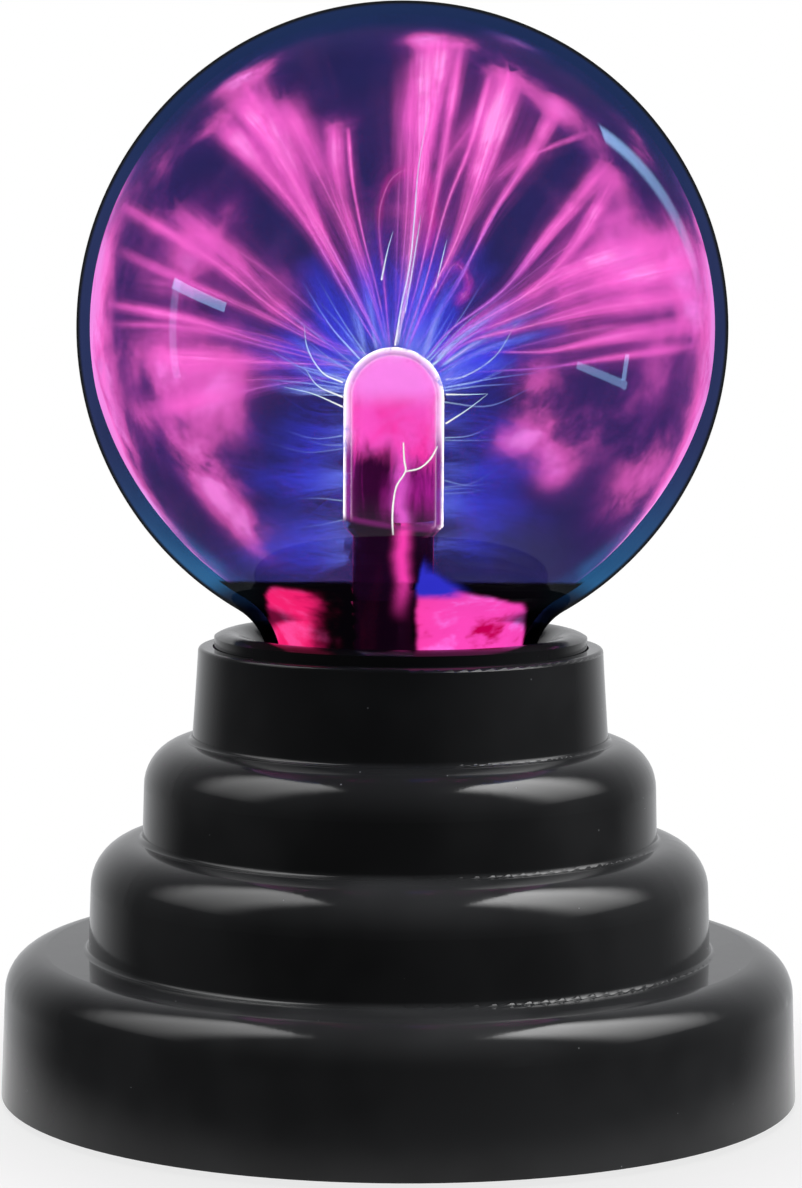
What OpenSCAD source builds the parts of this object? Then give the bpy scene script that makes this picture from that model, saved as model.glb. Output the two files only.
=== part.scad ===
// Three-inch plasma globe on a stepped round base: a gas-filled glass globe with an inner electrode,
// a moulded base shell, a high-voltage driver board, a power inlet and a slide switch.
// Millimetres, +Z up, origin on the table at the centre of the base. The front faces -Y.

/* [Globe] */
// Outer diameter of the glass globe
globe_d = 80; // [76:0.5:82]
// Thickness of the globe's glass
globe_wall = 1.6; // [1.2:0.1:2]
// Height of the globe's centre above the table
globe_z = 95.5; // [95:0.5:98]
// Outer diameter of the globe's neck
neck_d = 33; // [32.4:0.1:33.2]
// Radius of the blend between neck and globe
neck_blend = 8; // [6:0.5:9]

/* [Electrode] */
// Outer diameter of the electrode's glass finger
finger_d = 12.4; // [11.4:0.2:12.8]
// Outer diameter of the stem tube below the finger
stem_d = 10; // [9.6:0.1:10.4]
// Height of the finger's tip above the table
finger_top = 93.3; // [90:0.1:94]
// Sideways set of the electrode from the globe's axis
electrode_x = -1; // [-1.5:0.25:0]

/* [Base shell] */
// Diameter of the lowest tier
base_d = 99; // [98:0.5:101]
// Wall thickness of the base shell
shell_wall = 2.2; // [1.8:0.1:2.4]
// Radius of the small fillet in the corner above each tier
corner_fillet = 0.5; // [0.3:0.1:0.6]
// Height of the shell's rim above the table
foot_gap = 0.8; // [0.5:0.1:1]

/* [Neck ring] */
// Outer diameter of the ring on top of the base
ring_d = 46.2; // [45.8:0.2:46.4]
// Height of the ring's crest above the table
ring_top = 58.1; // [57.8:0.1:58.3]
// Radius of the ring's rounded crest
ring_round = 3.2; // [3:0.1:3.5]

/* [Switch] */
// Travel of the slide switch
switch_travel = 3; // [2.5:0.25:3.5]

/* [Hidden] */
$fn = 96;

globe_r = globe_d / 2;
neck_r = neck_d / 2;
neck_end = 42.3;

// Each tier: radius at its foot, radius where its shoulder starts, height of its top, shoulder radius
tiers = [
    [base_d / 2, base_d / 2 - 0.5, 18.6, 5],
    [38.7, 38.4, 32.4, 6],
    [32.0, 31.8, 44.7, 5.7],
    [25.9, 25.1, 56.3, 0.5],
];
tier_overlap = 1;
collar_top = tiers[3][2];
collar_bore_r = tiers[3][1] - shell_wall;
// The collar's mouth: a seat for the neck ring, on a flange that the ring's skirt passes through
ring_r = ring_d / 2;
ring_seat = collar_top - 1.4;
ring_inner_r = 17.3;
ring_skirt = [19.6, 20.9];
flange_r = 21.2;
flange_t = 2.9;
fit_gap = 0.2;
touch = 0.05;

cover_z = 1.3;
cover_t = 2;
cover_top = cover_z + cover_t;
cover_r = base_d / 2 - shell_wall - 0.4;
cover_lip = 1.2;
boss_ring_r = 41;
boss_r = 3.2;
boss_foot = 4.5;
screw_r = 1.45;
screw_head_r = 2.8;
screw_top = 12;
foot_ring_r = 39;
foot_r = 4.5;
foot_recess = 0.7;

board_z = 7.4;
board_t = 1.6;
board_top = board_z + board_t;
board_size = [52, 40];
board_y = -4;
board_holes = [[-22, -20], [22, -20], [-22, 12], [22, 12]];
board_post_r = 2.6;
board_screw_r = 1.05;
// Parts soldered to the board stand this far off its copper.
solder = 0.02;

transformer = [6, -4];
core_size = [24, 10, 20];
core_leg = 3;
core_z = board_top + 1.2;
core_post_r = 4;
coil_z = core_z + core_leg;
coil_h = core_size[2] - 2 * core_leg;
bobbin_r = 5;
bobbin_flange_r = 8.5;
flange_h = 1;
// Heights of the bobbin's flanges above the foot of the coil space
bobbin_flanges = [0.1, 4.6, 7.3, 10, 12.9];
primary_r = 7;
secondary_r = 8;

sink = [-18, -8];
sink_size = [2, 20, 18];
sink_foot = board_top + 0.3;
sink_screw_z = board_top + 15;
transistor_x = -14.7;
transistor_w = 4.4;
lead_pitch = 2.54;
// Each round capacitor: x, y, radius, height
capacitors = [[13, 9, 4, 13], [3.5, 9.5, 3.2, 10]];
film_at = [19, -14];
chip_at = [-9, 7];
chip_size = [9.6, 6.3, 3.3];
resistor_spots = [[-5, -14], [-5, -17.5], [-5, -21], [8, -14.5], [8, -18]];
resistor_z = board_top + 1.3;
resistor_half = 3.1;
lead_half = 4.6;
lead_r = 0.3;

// The flat recess at the back of the lowest tier holds the switch and the power jack.
recess_y = 46;
recess_size = [33, 9.4];
recess_corner = 1.8;
recess_z = 8.6;
panel_in = recess_y - 2;
panel_block = [39, 12, 13.8];

jack_x = -11.5;
jack_back = 36;
jack_floor = panel_in - 6;
jack_nose_r = 2.9;
jack_bore_r = 1.85;
jack_pin_r = 0.65;

switch_x = 5.5;
switch_pitch = 7.5;
switch_body = [12.6, 5.6, 6.6];
switch_inside = [11.4, 4.4, 5.4];
switch_plate = [19, 0.6, 6.6];
switch_slot = [7.6, 3, 3.4];
terminal_pitch = 2.5;
terminal_r = 0.5;
// The knob rests at its on end, and slides towards -X to switch off.
knob_x = switch_x + switch_travel / 2;
knob_slider = [3.6, 1.2, 4.6];
knob_neck = [3.2, 2.8];
knob_face = recess_y + 1.7;

// Routes of the leads, end to end
hv_route = [[6, 4.55, 25], [6, 7, 25.6], [5.5, 8.2, 29], [4.5, 7, 34], [1.5, 3, 39.5], [-1, 0, 43],
    [-1, 0, 46.2]];
black_route = [[-13, 35.25, 8.6], [-14, 30, 9], [-17, 22, 12], [-16, 15.5, 12.5], [-14, 13.3, 11.2],
    [-14, 13, 9.1]];
red_route = [[-10, 35.25, 8.6], [-9, 31, 8.8], [-3, 29.5, 9], [2, 31.5, 8.8], [3, 36.65, 8.6]];
switched_route = [[5.5, 36.65, 8.6], [5.5, 31.5, 9], [3, 25, 13], [-4, 18, 13.5], [-8, 14.3, 11.4],
    [-8, 14, 9.1]];
wire_r = 0.7;
hv_wire_r = 1.3;

// ---- helpers ----

module at_ring(radius, start, count = 4)
    for (i = [0:count - 1]) rotate(start + i * 360 / count) translate([radius, 0, 0]) children();

module at_points(points) for (p = points) translate([p[0], p[1], 0]) children();

module tube(r_out, r_in, z0, z1) {
    translate([0, 0, z0]) difference() {
        cylinder(r = r_out, h = z1 - z0);
        translate([0, 0, -1]) cylinder(r = r_in, h = z1 - z0 + 2);
    }
}

module rod(r, z0, z1) translate([0, 0, z0]) cylinder(r = r, h = z1 - z0);

// A box centred on at in x and y, standing on at's height
module block(size, at) translate([at[0] - size[0] / 2, at[1] - size[1] / 2, at[2]]) cube(size);

module along_x(r, x0, x1, y, z) translate([x0, y, z]) rotate([0, 90, 0]) cylinder(r = r, h = x1 - x0);

module along_y(r, y0, y1, x, z) translate([x, y1, z]) rotate([90, 0, 0]) cylinder(r = r, h = y1 - y0);

// A rounded rectangle in x and z, run along y from y0 to y1
module slot_block(size, corner, y0, y1, x, z) {
    dx = size[0] / 2 - corner;
    dz = size[1] / 2 - corner;
    translate([x - dx, y0, z - dz - corner]) cube([2 * dx, y1 - y0, size[1]]);
    translate([x - dx - corner, y0, z - dz]) cube([size[0], y1 - y0, 2 * dz]);
    for (sx = [-1, 1], sz = [-1, 1]) along_y(corner, y0, y1, x + sx * dx, z + sz * dz);
}

module cross_slot(width, length, z) {
    for (a = [0, 90]) rotate(a) block([width, length, 1], [0, 0, z]);
}

// A smooth route through hand-set points, and a round lead swept along it
function between(a, b, c, d, t) = 0.5 * (2 * b + (c - a) * t + (2 * a - 5 * b + 4 * c - d) * t * t
    + (3 * b - a - 3 * c + d) * t * t * t);
function smooth(p, n) = concat([for (i = [0:len(p) - 2]) for (k = [0:n - 1])
    between(p[max(i - 1, 0)], p[i], p[i + 1], p[min(i + 2, len(p) - 1)], k / n)], [p[len(p) - 1]]);
function unit(v) = v / norm(v);
// side is a direction that the route never runs along.
module swept(points, r, side, sides = 8, steps = 4) {
    p = smooth(points, steps);
    n = len(p);
    ring = [for (i = [0:n - 1]) let (
        t = unit(p[min(i + 1, n - 1)] - p[max(i - 1, 0)]),
        u = unit(cross(t, side)),
        v = cross(t, u)) for (j = [0:sides - 1]) let (a = 360 * j / sides)
        p[i] + r * (cos(a) * u + sin(a) * v)];
    walls = [for (i = [0:n - 2]) for (j = [0:sides - 1]) let (k = (j + 1) % sides)
        [i * sides + j, (i + 1) * sides + j, (i + 1) * sides + k, i * sides + k]];
    first = [for (j = [0:sides - 1]) j];
    last = [for (j = [sides - 1:-1:0]) (n - 1) * sides + j];
    polyhedron(points = ring, faces = concat([first, last], walls), convexity = 6);
}

// ---- base ----

// Outline of one tier in the r-z plane, drawn in by inset on every side
module tier_outline(i, inset = 0) {
    foot_r = tiers[i][0] - inset;
    top_r = tiers[i][1] - inset;
    top = tiers[i][2] - inset;
    round_r = max(tiers[i][3] - inset, 0.3);
    rim = foot_gap - (inset > 0 ? tier_overlap : 0);
    foot = i == 0 ? rim : tiers[i - 1][2] - inset - tier_overlap;
    polygon([[0, foot], [foot_r, foot], [top_r, top - round_r], [top_r - round_r, top - round_r],
        [top_r - round_r, top], [0, top]]);
    translate([top_r - round_r, top - round_r]) circle(round_r);
}

// The fillet between tier i's top and the wall that rises from it
module corner_outline(i) {
    r = tiers[i + 1][0];
    z = tiers[i][2];
    difference() {
        translate([r - fit_gap, z - fit_gap]) square(corner_fillet + fit_gap);
        translate([r + corner_fillet, z + corner_fillet]) circle(corner_fillet);
    }
}

module shell_solid() rotate_extrude() {
    for (i = [0:3]) tier_outline(i);
    for (i = [0:2]) corner_outline(i);
}

module shell_cavity() rotate_extrude() for (i = [0:2]) tier_outline(i, shell_wall);

module base_shell() {
    collar_foot = tiers[2][2] - shell_wall - tier_overlap;
    color("#0c0d0e") difference() {
        union() {
            difference() {
                shell_solid();
                shell_cavity();
            }
            intersection() {
                shell_solid();
                block(panel_block, [0, panel_in + panel_block[1] / 2, cover_top + 0.1]);
            }
            at_ring(boss_ring_r, 45) rod(boss_r, boss_foot, tiers[0][2] - 1);
        }
        rod(flange_r, collar_foot, collar_top + 1);
        rod(ring_r + fit_gap, ring_seat, collar_top + 1);
        rod(collar_bore_r, collar_foot, ring_seat - flange_t);
        at_ring(boss_ring_r, 45) rod(screw_r + touch, boss_foot - 1, screw_top + 1);
        slot_block(recess_size, recess_corner, recess_y, recess_y + 8, 0, recess_z);
        slot_block([switch_slot[0], switch_slot[2] + 0.4], 0.6, panel_in - 1, recess_y + 1, switch_x,
            recess_z);
        along_y(jack_nose_r + fit_gap / 2, panel_in - 2, recess_y + 1, jack_x, recess_z);
        for (s = [-1, 1]) along_y(1.1, panel_in - 1, recess_y + 1, switch_x + s * switch_pitch, recess_z);
    }
}

// The ring's crest is round, and falls away towards the neck.
module neck_ring() {
    foot = ring_seat + touch;
    width = ring_r - ring_inner_r;
    color("#101112") rotate_extrude() {
        intersection() {
            translate([ring_r - 1.8, ring_top - ring_round]) circle(ring_round);
            translate([ring_inner_r, foot]) square([width, 5]);
        }
        translate([ring_inner_r, foot]) square([width, 1.2]);
        translate([ring_skirt[0], foot - 4]) square([ring_skirt[1] - ring_skirt[0], 4.2]);
    }
}

module neck_gasket() color("#2a2a2a") tube(ring_skirt[0] - 0.1, neck_r + touch, 49.6, ring_seat);

module neck_bond() color("#c9c6ba") tube(collar_bore_r - 0.02, neck_r + 0.02, 46, 49.4);

module bottom_cover() {
    color("#161718") difference() {
        union() {
            rod(cover_r, cover_z, cover_top);
            tube(cover_r - cover_lip, cover_r - 2.2 * cover_lip, cover_top - 1, cover_top + cover_lip);
            at_ring(boss_ring_r, 45) rod(boss_r + 1, cover_top - 1, boss_foot - touch);
            at_points(board_holes) rod(board_post_r, cover_top - 1, board_z);
        }
        // The lip stops short of the switch panel at the back.
        block([panel_block[0] + 3, 20, 4], [0, base_d / 2, cover_top]);
        at_ring(boss_ring_r, 45) {
            rod(screw_head_r + 0.3, cover_z - 1, cover_top);
            rod(screw_r + 0.25, cover_z, boss_foot + 1);
        }
        at_ring(foot_ring_r, 0) rod(foot_r + 0.1, cover_z - 1, cover_z + foot_recess);
        at_points(board_holes) rod(board_screw_r + touch, cover_top - 0.8, board_z + 1);
        for (i = [-3:3]) vent_slot(i);
    }
}

// One of the vent slots across the middle of the cover, counted from the middle one
module vent_slot(i) {
    half = 12 - abs(i);
    translate([0, i * 5 + board_y, cover_z - 1]) {
        translate([-half, -1, 0]) cube([2 * half, 2, cover_t + 2]);
        for (s = [-1, 1]) translate([s * half, 0, 0]) cylinder(r = 1, h = cover_t + 2);
    }
}

module cover_screws() {
    head = cover_z + 0.4;
    color("silver") at_ring(boss_ring_r, 45) difference() {
        union() {
            rod(screw_head_r, head, cover_top);
            rod(screw_r, head + 0.2, screw_top);
        }
        cross_slot(0.7, 3.2, head - 0.6);
    }
}

module rubber_feet() {
    bevel = 0.4;
    color("#1b1b1b") at_ring(foot_ring_r, 0) {
        rod(foot_r, bevel, cover_z + foot_recess);
        cylinder(r1 = foot_r - bevel, r2 = foot_r, h = bevel);
    }
}

// ---- globe and electrode ----

// Outline of the globe with its neck, drawn in by inset. The neck's side runs straight down to
// its open end, and meets the ball through one concave arc that touches both.
module envelope_outline(inset, z_end) {
    r = globe_r - inset;
    rn = neck_r - inset;
    rb = neck_blend + inset;
    blend_z = globe_z - sqrt(pow(r + rb, 2) - pow(rn + rb, 2));
    meet = [(rn + rb) * r / (r + rb), globe_z - (globe_z - blend_z) * r / (r + rb)];
    intersection() {
        translate([0, globe_z]) circle(r, $fn = 192);
        translate([0, meet[1]]) square([r + 1, 2 * r]);
    }
    difference() {
        polygon([[0, z_end], [rn, z_end], [rn, blend_z], [meet[0], meet[1]], [0, meet[1]]]);
        translate([rn + rb, blend_z]) circle(rb);
    }
}

module globe_envelope() {
    color("#1b2c66", 0.5) rotate_extrude() difference() {
        envelope_outline(0, neck_end);
        envelope_outline(globe_wall, neck_end - 1);
    }
}

// The electrode's glass: a stem with a wider round-topped finger on it
stem_foot = 45;
finger_foot = 70;
finger_wall = 0.9;
dome_z = finger_top - finger_d / 2;
module finger_outline(inset) {
    r = finger_d / 2 - inset;
    rs = stem_d / 2 - inset;
    foot = stem_foot - inset;
    polygon([[0, foot], [rs, foot], [rs, finger_foot], [r, finger_foot + 1.2], [r, dome_z], [0, dome_z]]);
    intersection() {
        translate([0, dome_z]) circle(r);
        translate([0, dome_z - 0.1]) square(r + 1);
    }
}

module at_electrode() translate([electrode_x, 0, 0]) children();

module electrode_tube() {
    color("#e79ad0", 0.6) at_electrode() rotate_extrude() difference() {
        finger_outline(0);
        finger_outline(finger_wall);
    }
}

contact_r = 0.9;
contact_z = [47.5, 83.9];
module electrode_core() {
    core_r = finger_d / 2 - finger_wall - 0.1;
    color("#241d20") at_electrode() difference() {
        union() {
            rod(core_r, finger_foot + 2, dome_z);
            intersection() {
                translate([0, 0, dome_z]) sphere(core_r);
                rod(core_r + 1, dome_z - 0.5, finger_top);
            }
        }
        rod(contact_r + 0.1, finger_foot, contact_z[1] + 0.1);
    }
}

module contact_rod() color("#b58a3c") at_electrode() rod(contact_r, contact_z[0], contact_z[1]);

// The stem's flared foot closes the neck around the tube.
flare_t = 1.6;
exhaust_y = 9.5;
exhaust_r = 1.35;
module stem_flare() {
    tube_r = stem_d / 2 + 0.02;
    rim_r = neck_r - globe_wall - touch;
    color("#a9b7d6", 0.6) difference() {
        union() {
            rod(rim_r, neck_end, neck_end + flare_t);
            at_electrode() translate([0, 0, neck_end + flare_t - 0.1])
                cylinder(r1 = 9, r2 = tube_r + 1, h = 5);
        }
        at_electrode() rod(tube_r, neck_end - 1, neck_end + 10);
        translate([0, exhaust_y, 0]) rod(exhaust_r + touch, neck_end - 1, neck_end + 4);
    }
}

module exhaust_tip() {
    color("#a9b7d6", 0.6) translate([0, exhaust_y, 0]) {
        rod(exhaust_r, 39.99, 44.6);
        translate([0, 0, 37.5]) cylinder(r1 = 0.4, r2 = exhaust_r, h = 2.5);
    }
}

module stem_plug() color("#d8d5cc") at_electrode() difference() {
    rod(stem_d / 2 - 1, stem_foot, stem_foot + 6);
    rod(contact_r + touch, contact_z[0] - 0.5, stem_foot + 7);
    rod(hv_wire_r + touch, stem_foot - 1, contact_z[0] - 0.3);
}

// ---- driver board ----

module circuit_board() {
    color("#1f6b3a") difference() {
        block([board_size[0], board_size[1], board_t], [0, board_y, board_z]);
        at_points(board_holes) rod(board_screw_r + 0.2, board_z - 1, board_top + 1);
    }
}

module board_screws() {
    color("silver") at_points(board_holes) difference() {
        union() {
            rod(2.2, board_top, board_top + 1.4);
            rod(board_screw_r, 4, board_top + 0.1);
        }
        cross_slot(0.6, 2.6, board_top + 0.8);
    }
}

module transformer_core() {
    color("#3a3a3c") translate([transformer[0], transformer[1], core_z]) {
        difference() {
            block(core_size, [0, 0, 0]);
            block([core_size[0] - 2 * core_leg, core_size[1] + 2, coil_h], [0, 0, core_leg]);
        }
        rod(core_post_r, core_leg - 0.1, core_leg + coil_h + 0.1);
    }
}

module at_coil() translate([transformer[0], transformer[1], coil_z]) children();

module transformer_bobbin() {
    color("#c8b98c") at_coil() {
        tube(bobbin_r, core_post_r + 0.15, bobbin_flanges[0], coil_h - 0.1);
        for (z = bobbin_flanges) tube(bobbin_flange_r, bobbin_r - 0.5, z, z + flange_h);
    }
}

// The wire that fills the bobbin between flange i and the next
module winding(i, r)
    tube(r, bobbin_r + touch, bobbin_flanges[i] + flange_h + touch, bobbin_flanges[i + 1] - touch);

module primary_winding() color("#b46a32") at_coil() winding(0, primary_r);

module secondary_winding() color("#8a3f2a") at_coil() for (i = [1:3]) winding(i, secondary_r);

module transformer_pins() {
    color("silver") for (x = [-6, -2, 2, 6], y = [-4, 4])
        translate([transformer[0] + x, transformer[1] + y, 0]) rod(0.4, board_top + solder, core_z - solder);
}

module heat_sink() {
    fins = 6;
    fin_pitch = (sink_size[1] - 1.6) / (fins - 1);
    color("#b9bcc0") difference() {
        union() {
            block(sink_size, [sink[0], sink[1], sink_foot]);
            for (i = [0:fins - 1]) block([6, 1.2, sink_size[2]],
                [sink[0] - 3.5, sink[1] + (i - (fins - 1) / 2) * fin_pitch, sink_foot]);
        }
        along_x(1.55, sink[0] - 2, sink[0] + 2, sink[1], sink_screw_z);
    }
}

module drive_transistor() {
    tab_z = board_top + 12.2;
    color("#202224") difference() {
        block([transistor_w, 10, 15], [transistor_x, sink[1], board_top + 3]);
        block([3, 11, 6], [transistor_x + 1.7, sink[1], tab_z]);
        along_x(1.6, transistor_x - 3, transistor_x + 3, sink[1], sink_screw_z);
    }
}

module heat_sink_screw() {
    face_x = transistor_x + 0.25;
    color("silver") union() {
        along_x(1.5, face_x - 5.2, face_x, sink[1], sink_screw_z);
        along_x(2.6, face_x - 0.02, face_x + 1.6, sink[1], sink_screw_z);
    }
}

module transistor_leads() color("silver") for (i = [-1:1])
    block([0.5, 0.8, 3 - 2 * solder], [transistor_x, sink[1] + i * lead_pitch, board_top + solder]);

module filter_capacitors() {
    color("#1d2f5c") for (c = capacitors) translate([c[0], c[1], board_top]) {
        tube(c[2], c[2] - 0.8, 0.2, c[3]);
        rod(c[2] - 0.7, 0.3, c[3] - 0.4);
        for (x = [-1.3, 1.3]) translate([x, 0, 0]) rod(lead_r, solder, 0.4);
    }
}

module film_capacitor() {
    color("#a8452a") translate([film_at[0], film_at[1], board_top]) {
        block([7.5, 3.4, 8], [0, 0, 0.4]);
        for (x = [-2.5, 2.5]) translate([x, 0, 0]) rod(0.35, solder, 0.6);
    }
}

module timer_chip() {
    notch_x = chip_at[0] - chip_size[0] / 2;
    color("#18191b") difference() {
        block(chip_size, [chip_at[0], chip_at[1], board_top + 0.6]);
        translate([notch_x, chip_at[1], board_top + chip_size[2] + 0.1]) cylinder(r = 0.8, h = 1);
    }
}

module chip_leads() color("silver") for (i = [0:3], s = [-1, 1]) {
    x = chip_at[0] + (i - 1.5) * lead_pitch;
    block([0.6, 0.3, 1.9], [x, chip_at[1] + s * 3.75, board_top + solder]);
    block([0.6, 0.62, 0.3], [x, chip_at[1] + s * 3.49, board_top + 1.6]);
}

module resistors() color("#c9a97a") for (p = resistor_spots) {
    along_x(1, p[0] - 3, p[0] + 3, p[1], resistor_z);
    for (s = [-1, 1]) {
        end = p[0] + s * (resistor_half - 0.7);
        along_x(1.2, end - 0.7, end + 0.7, p[1], resistor_z);
    }
}

module resistor_leads() color("silver") for (p = resistor_spots, s = [-1, 1]) {
    bend = p[0] + s * lead_half;
    root = p[0] + s * (resistor_half + solder);
    along_x(lead_r, min(bend, root), max(bend, root), p[1], resistor_z);
    translate([bend, p[1], resistor_z]) sphere(1.2 * lead_r);
    translate([bend, p[1], 0]) rod(lead_r, board_top + solder, resistor_z);
}

// ---- power jack, switch and wires ----

module power_jack() {
    color("#0f0f10") difference() {
        union() {
            slot_block([8, 8], 0.8, jack_back, panel_in - touch, jack_x, recess_z);
            along_y(jack_nose_r, panel_in - 0.1, recess_y + 0.6, jack_x, recess_z);
        }
        along_y(jack_bore_r, jack_floor, recess_y + 1, jack_x, recess_z);
    }
}

module jack_pin() color("silver") along_y(jack_pin_r, jack_floor, recess_y - 0.6, jack_x, recess_z);

module jack_terminals() {
    color("silver") for (x = [-1.5, 1.5])
        along_y(terminal_r, jack_back - 0.7, jack_back, jack_x + x, recess_z);
}

module at_switch_screws() for (s = [-1, 1]) translate([switch_x + s * switch_pitch, 0, 0]) children();

module switch_housing() {
    color("#b7babd") difference() {
        union() {
            block(switch_body, [switch_x, panel_in - 2.85, recess_z - switch_body[2] / 2]);
            block(switch_plate, [switch_x, panel_in - 0.35, recess_z - switch_plate[2] / 2]);
        }
        block(switch_inside, [switch_x, panel_in - 2.85, recess_z - switch_inside[2] / 2]);
        block(switch_slot, [switch_x, panel_in, recess_z - switch_slot[2] / 2]);
        at_switch_screws() along_y(1 + touch, panel_in - 2, panel_in + 1, 0, recess_z);
        for (i = [-1:1])
            along_y(terminal_r + touch, panel_in - 7, panel_in - 4, switch_x + i * terminal_pitch, recess_z);
    }
}

module switch_terminals() color("silver") for (i = [-1:1])
    along_y(terminal_r, 36.7, panel_in - 3, switch_x + i * terminal_pitch, recess_z);

module switch_screws() {
    color("silver") at_switch_screws() difference() {
        union() {
            along_y(1, panel_in - 1.6, recess_y + 0.1, 0, recess_z);
            along_y(1.9, recess_y, recess_y + 0.9, 0, recess_z);
        }
        for (a = [0, 90]) translate([0, recess_y + 0.4, recess_z]) rotate([0, a, 0])
            translate([-1.2, 0, -0.25]) cube([2.4, 1, 0.5]);
    }
}

module switch_knob() {
    color("#0a0a0b") union() {
        block(knob_slider, [knob_x, panel_in - 1.6, recess_z - knob_slider[2] / 2]);
        slot_block(knob_neck, 0.4, panel_in - 1.2, knob_face, knob_x, recess_z);
        for (i = [-1:1]) translate([knob_x + i * 0.9 - 0.2, knob_face - 0.1, recess_z - 1.2])
            cube([0.4, 0.35, 2.4]);
    }
}

module switch_wiper() color("#b58a3c") block([3, 0.5, 2.4], [knob_x, panel_in - 2.45, recess_z - 1.2]);

module high_voltage_lead() color("#e8e6e0") swept(hv_route, hv_wire_r, [1, 0, 0]);
module supply_wire_black() color("#141414") swept(black_route, wire_r, [1, 0, 0]);
module supply_wire_red() color("#a01818") swept(red_route, wire_r, [0, 0, 1]);
module switched_wire() color("#a01818") swept(switched_route, wire_r, [1, 0, 0]);

base_shell();
neck_ring();
neck_gasket();
neck_bond();
globe_envelope();
electrode_tube();
electrode_core();
contact_rod();
stem_flare();
exhaust_tip();
stem_plug();
bottom_cover();
cover_screws();
rubber_feet();
circuit_board();
board_screws();
transformer_core();
transformer_bobbin();
primary_winding();
secondary_winding();
transformer_pins();
heat_sink();
heat_sink_screw();
drive_transistor();
transistor_leads();
filter_capacitors();
film_capacitor();
timer_chip();
chip_leads();
resistors();
resistor_leads();
power_jack();
jack_pin();
jack_terminals();
switch_housing();
switch_terminals();
switch_screws();
switch_knob();
switch_wiper();
high_voltage_lead();
supply_wire_black();
supply_wire_red();
switched_wire();
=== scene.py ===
"""Plasma ball on a stepped black base: looks, plasma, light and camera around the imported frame."""
import math
import random

import bmesh
import bpy
from mathutils import Matrix, Vector


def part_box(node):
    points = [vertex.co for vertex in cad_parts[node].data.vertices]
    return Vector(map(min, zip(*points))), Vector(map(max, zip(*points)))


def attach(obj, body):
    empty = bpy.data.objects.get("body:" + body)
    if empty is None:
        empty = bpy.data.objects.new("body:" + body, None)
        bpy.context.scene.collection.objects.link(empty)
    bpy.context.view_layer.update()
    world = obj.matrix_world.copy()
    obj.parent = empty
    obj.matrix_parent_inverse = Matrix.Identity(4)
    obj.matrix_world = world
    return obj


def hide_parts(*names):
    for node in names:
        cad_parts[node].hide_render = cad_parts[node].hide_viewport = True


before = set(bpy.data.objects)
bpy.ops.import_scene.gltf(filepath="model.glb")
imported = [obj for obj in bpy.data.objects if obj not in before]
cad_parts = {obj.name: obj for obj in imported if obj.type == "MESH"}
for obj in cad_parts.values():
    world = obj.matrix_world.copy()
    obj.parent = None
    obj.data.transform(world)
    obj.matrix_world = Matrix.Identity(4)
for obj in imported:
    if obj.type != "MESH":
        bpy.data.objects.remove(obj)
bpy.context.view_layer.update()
MM = 0.001

# How bright the surroundings are in reflections, towards the front and behind
WORLD_FRONT = 0.03
WORLD_BACK = 0.70

# ---- measures: from the frame's boxes, and sizes of the CAD model that its boxes don't give ----

GLOBE_LOW, GLOBE_HIGH = (Vector(p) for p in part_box("globe_envelope"))
GLOBE_R = (GLOBE_HIGH.x - GLOBE_LOW.x) / 2
CENTRE = Vector((0, 0, GLOBE_HIGH.z - GLOBE_R))
# The glass wall, and how far inside the outer face the glow lies against it
WALL = 1.6 * MM
LINING_INSET = WALL + 0.05 * MM
TUBE_LOW, TUBE_HIGH = (Vector(p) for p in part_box("electrode_tube"))
FINGER_R = (TUBE_HIGH.x - TUBE_LOW.x) / 2
FINGER_X = (TUBE_HIGH.x + TUBE_LOW.x) / 2
FINGER_TOP = TUBE_HIGH.z
# The globe's neck, the concave blend between it and the ball, and where the black inside it, painted shade,
# ends
NECK_R = 16.5 * MM
NECK_BLEND = 8 * MM
NECK_TOP = 64.2 * MM
# Where the object is seen from in the front view
CAMERA_AT = Vector((0, -0.4748, 0.1075))

# What the tinted glass lets through in red, green and blue. Plasma colours are divided by it,
# so that they are given as they look from outside.
TINT = (0.13, 0.135, 0.31)


def through_glass(r, g, b, power=1.0):
    return tuple(power * c / t for c, t in zip((r, g, b), TINT))


PINK = through_glass(1.05, 0.15, 0.68)
PALE_PINK = through_glass(1.1, 0.46, 1.0)
MAGENTA = through_glass(0.62, 0.045, 0.50)
DEEP_PINK = through_glass(0.50, 0.03, 0.28)
VIOLET = through_glass(0.42, 0.10, 0.85)
BLUE = through_glass(0.050, 0.060, 0.86)
ICE = through_glass(0.55, 0.75, 1.0)
WHITE = through_glass(1.0, 1.0, 1.0)


# ---- small node helpers ----

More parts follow.
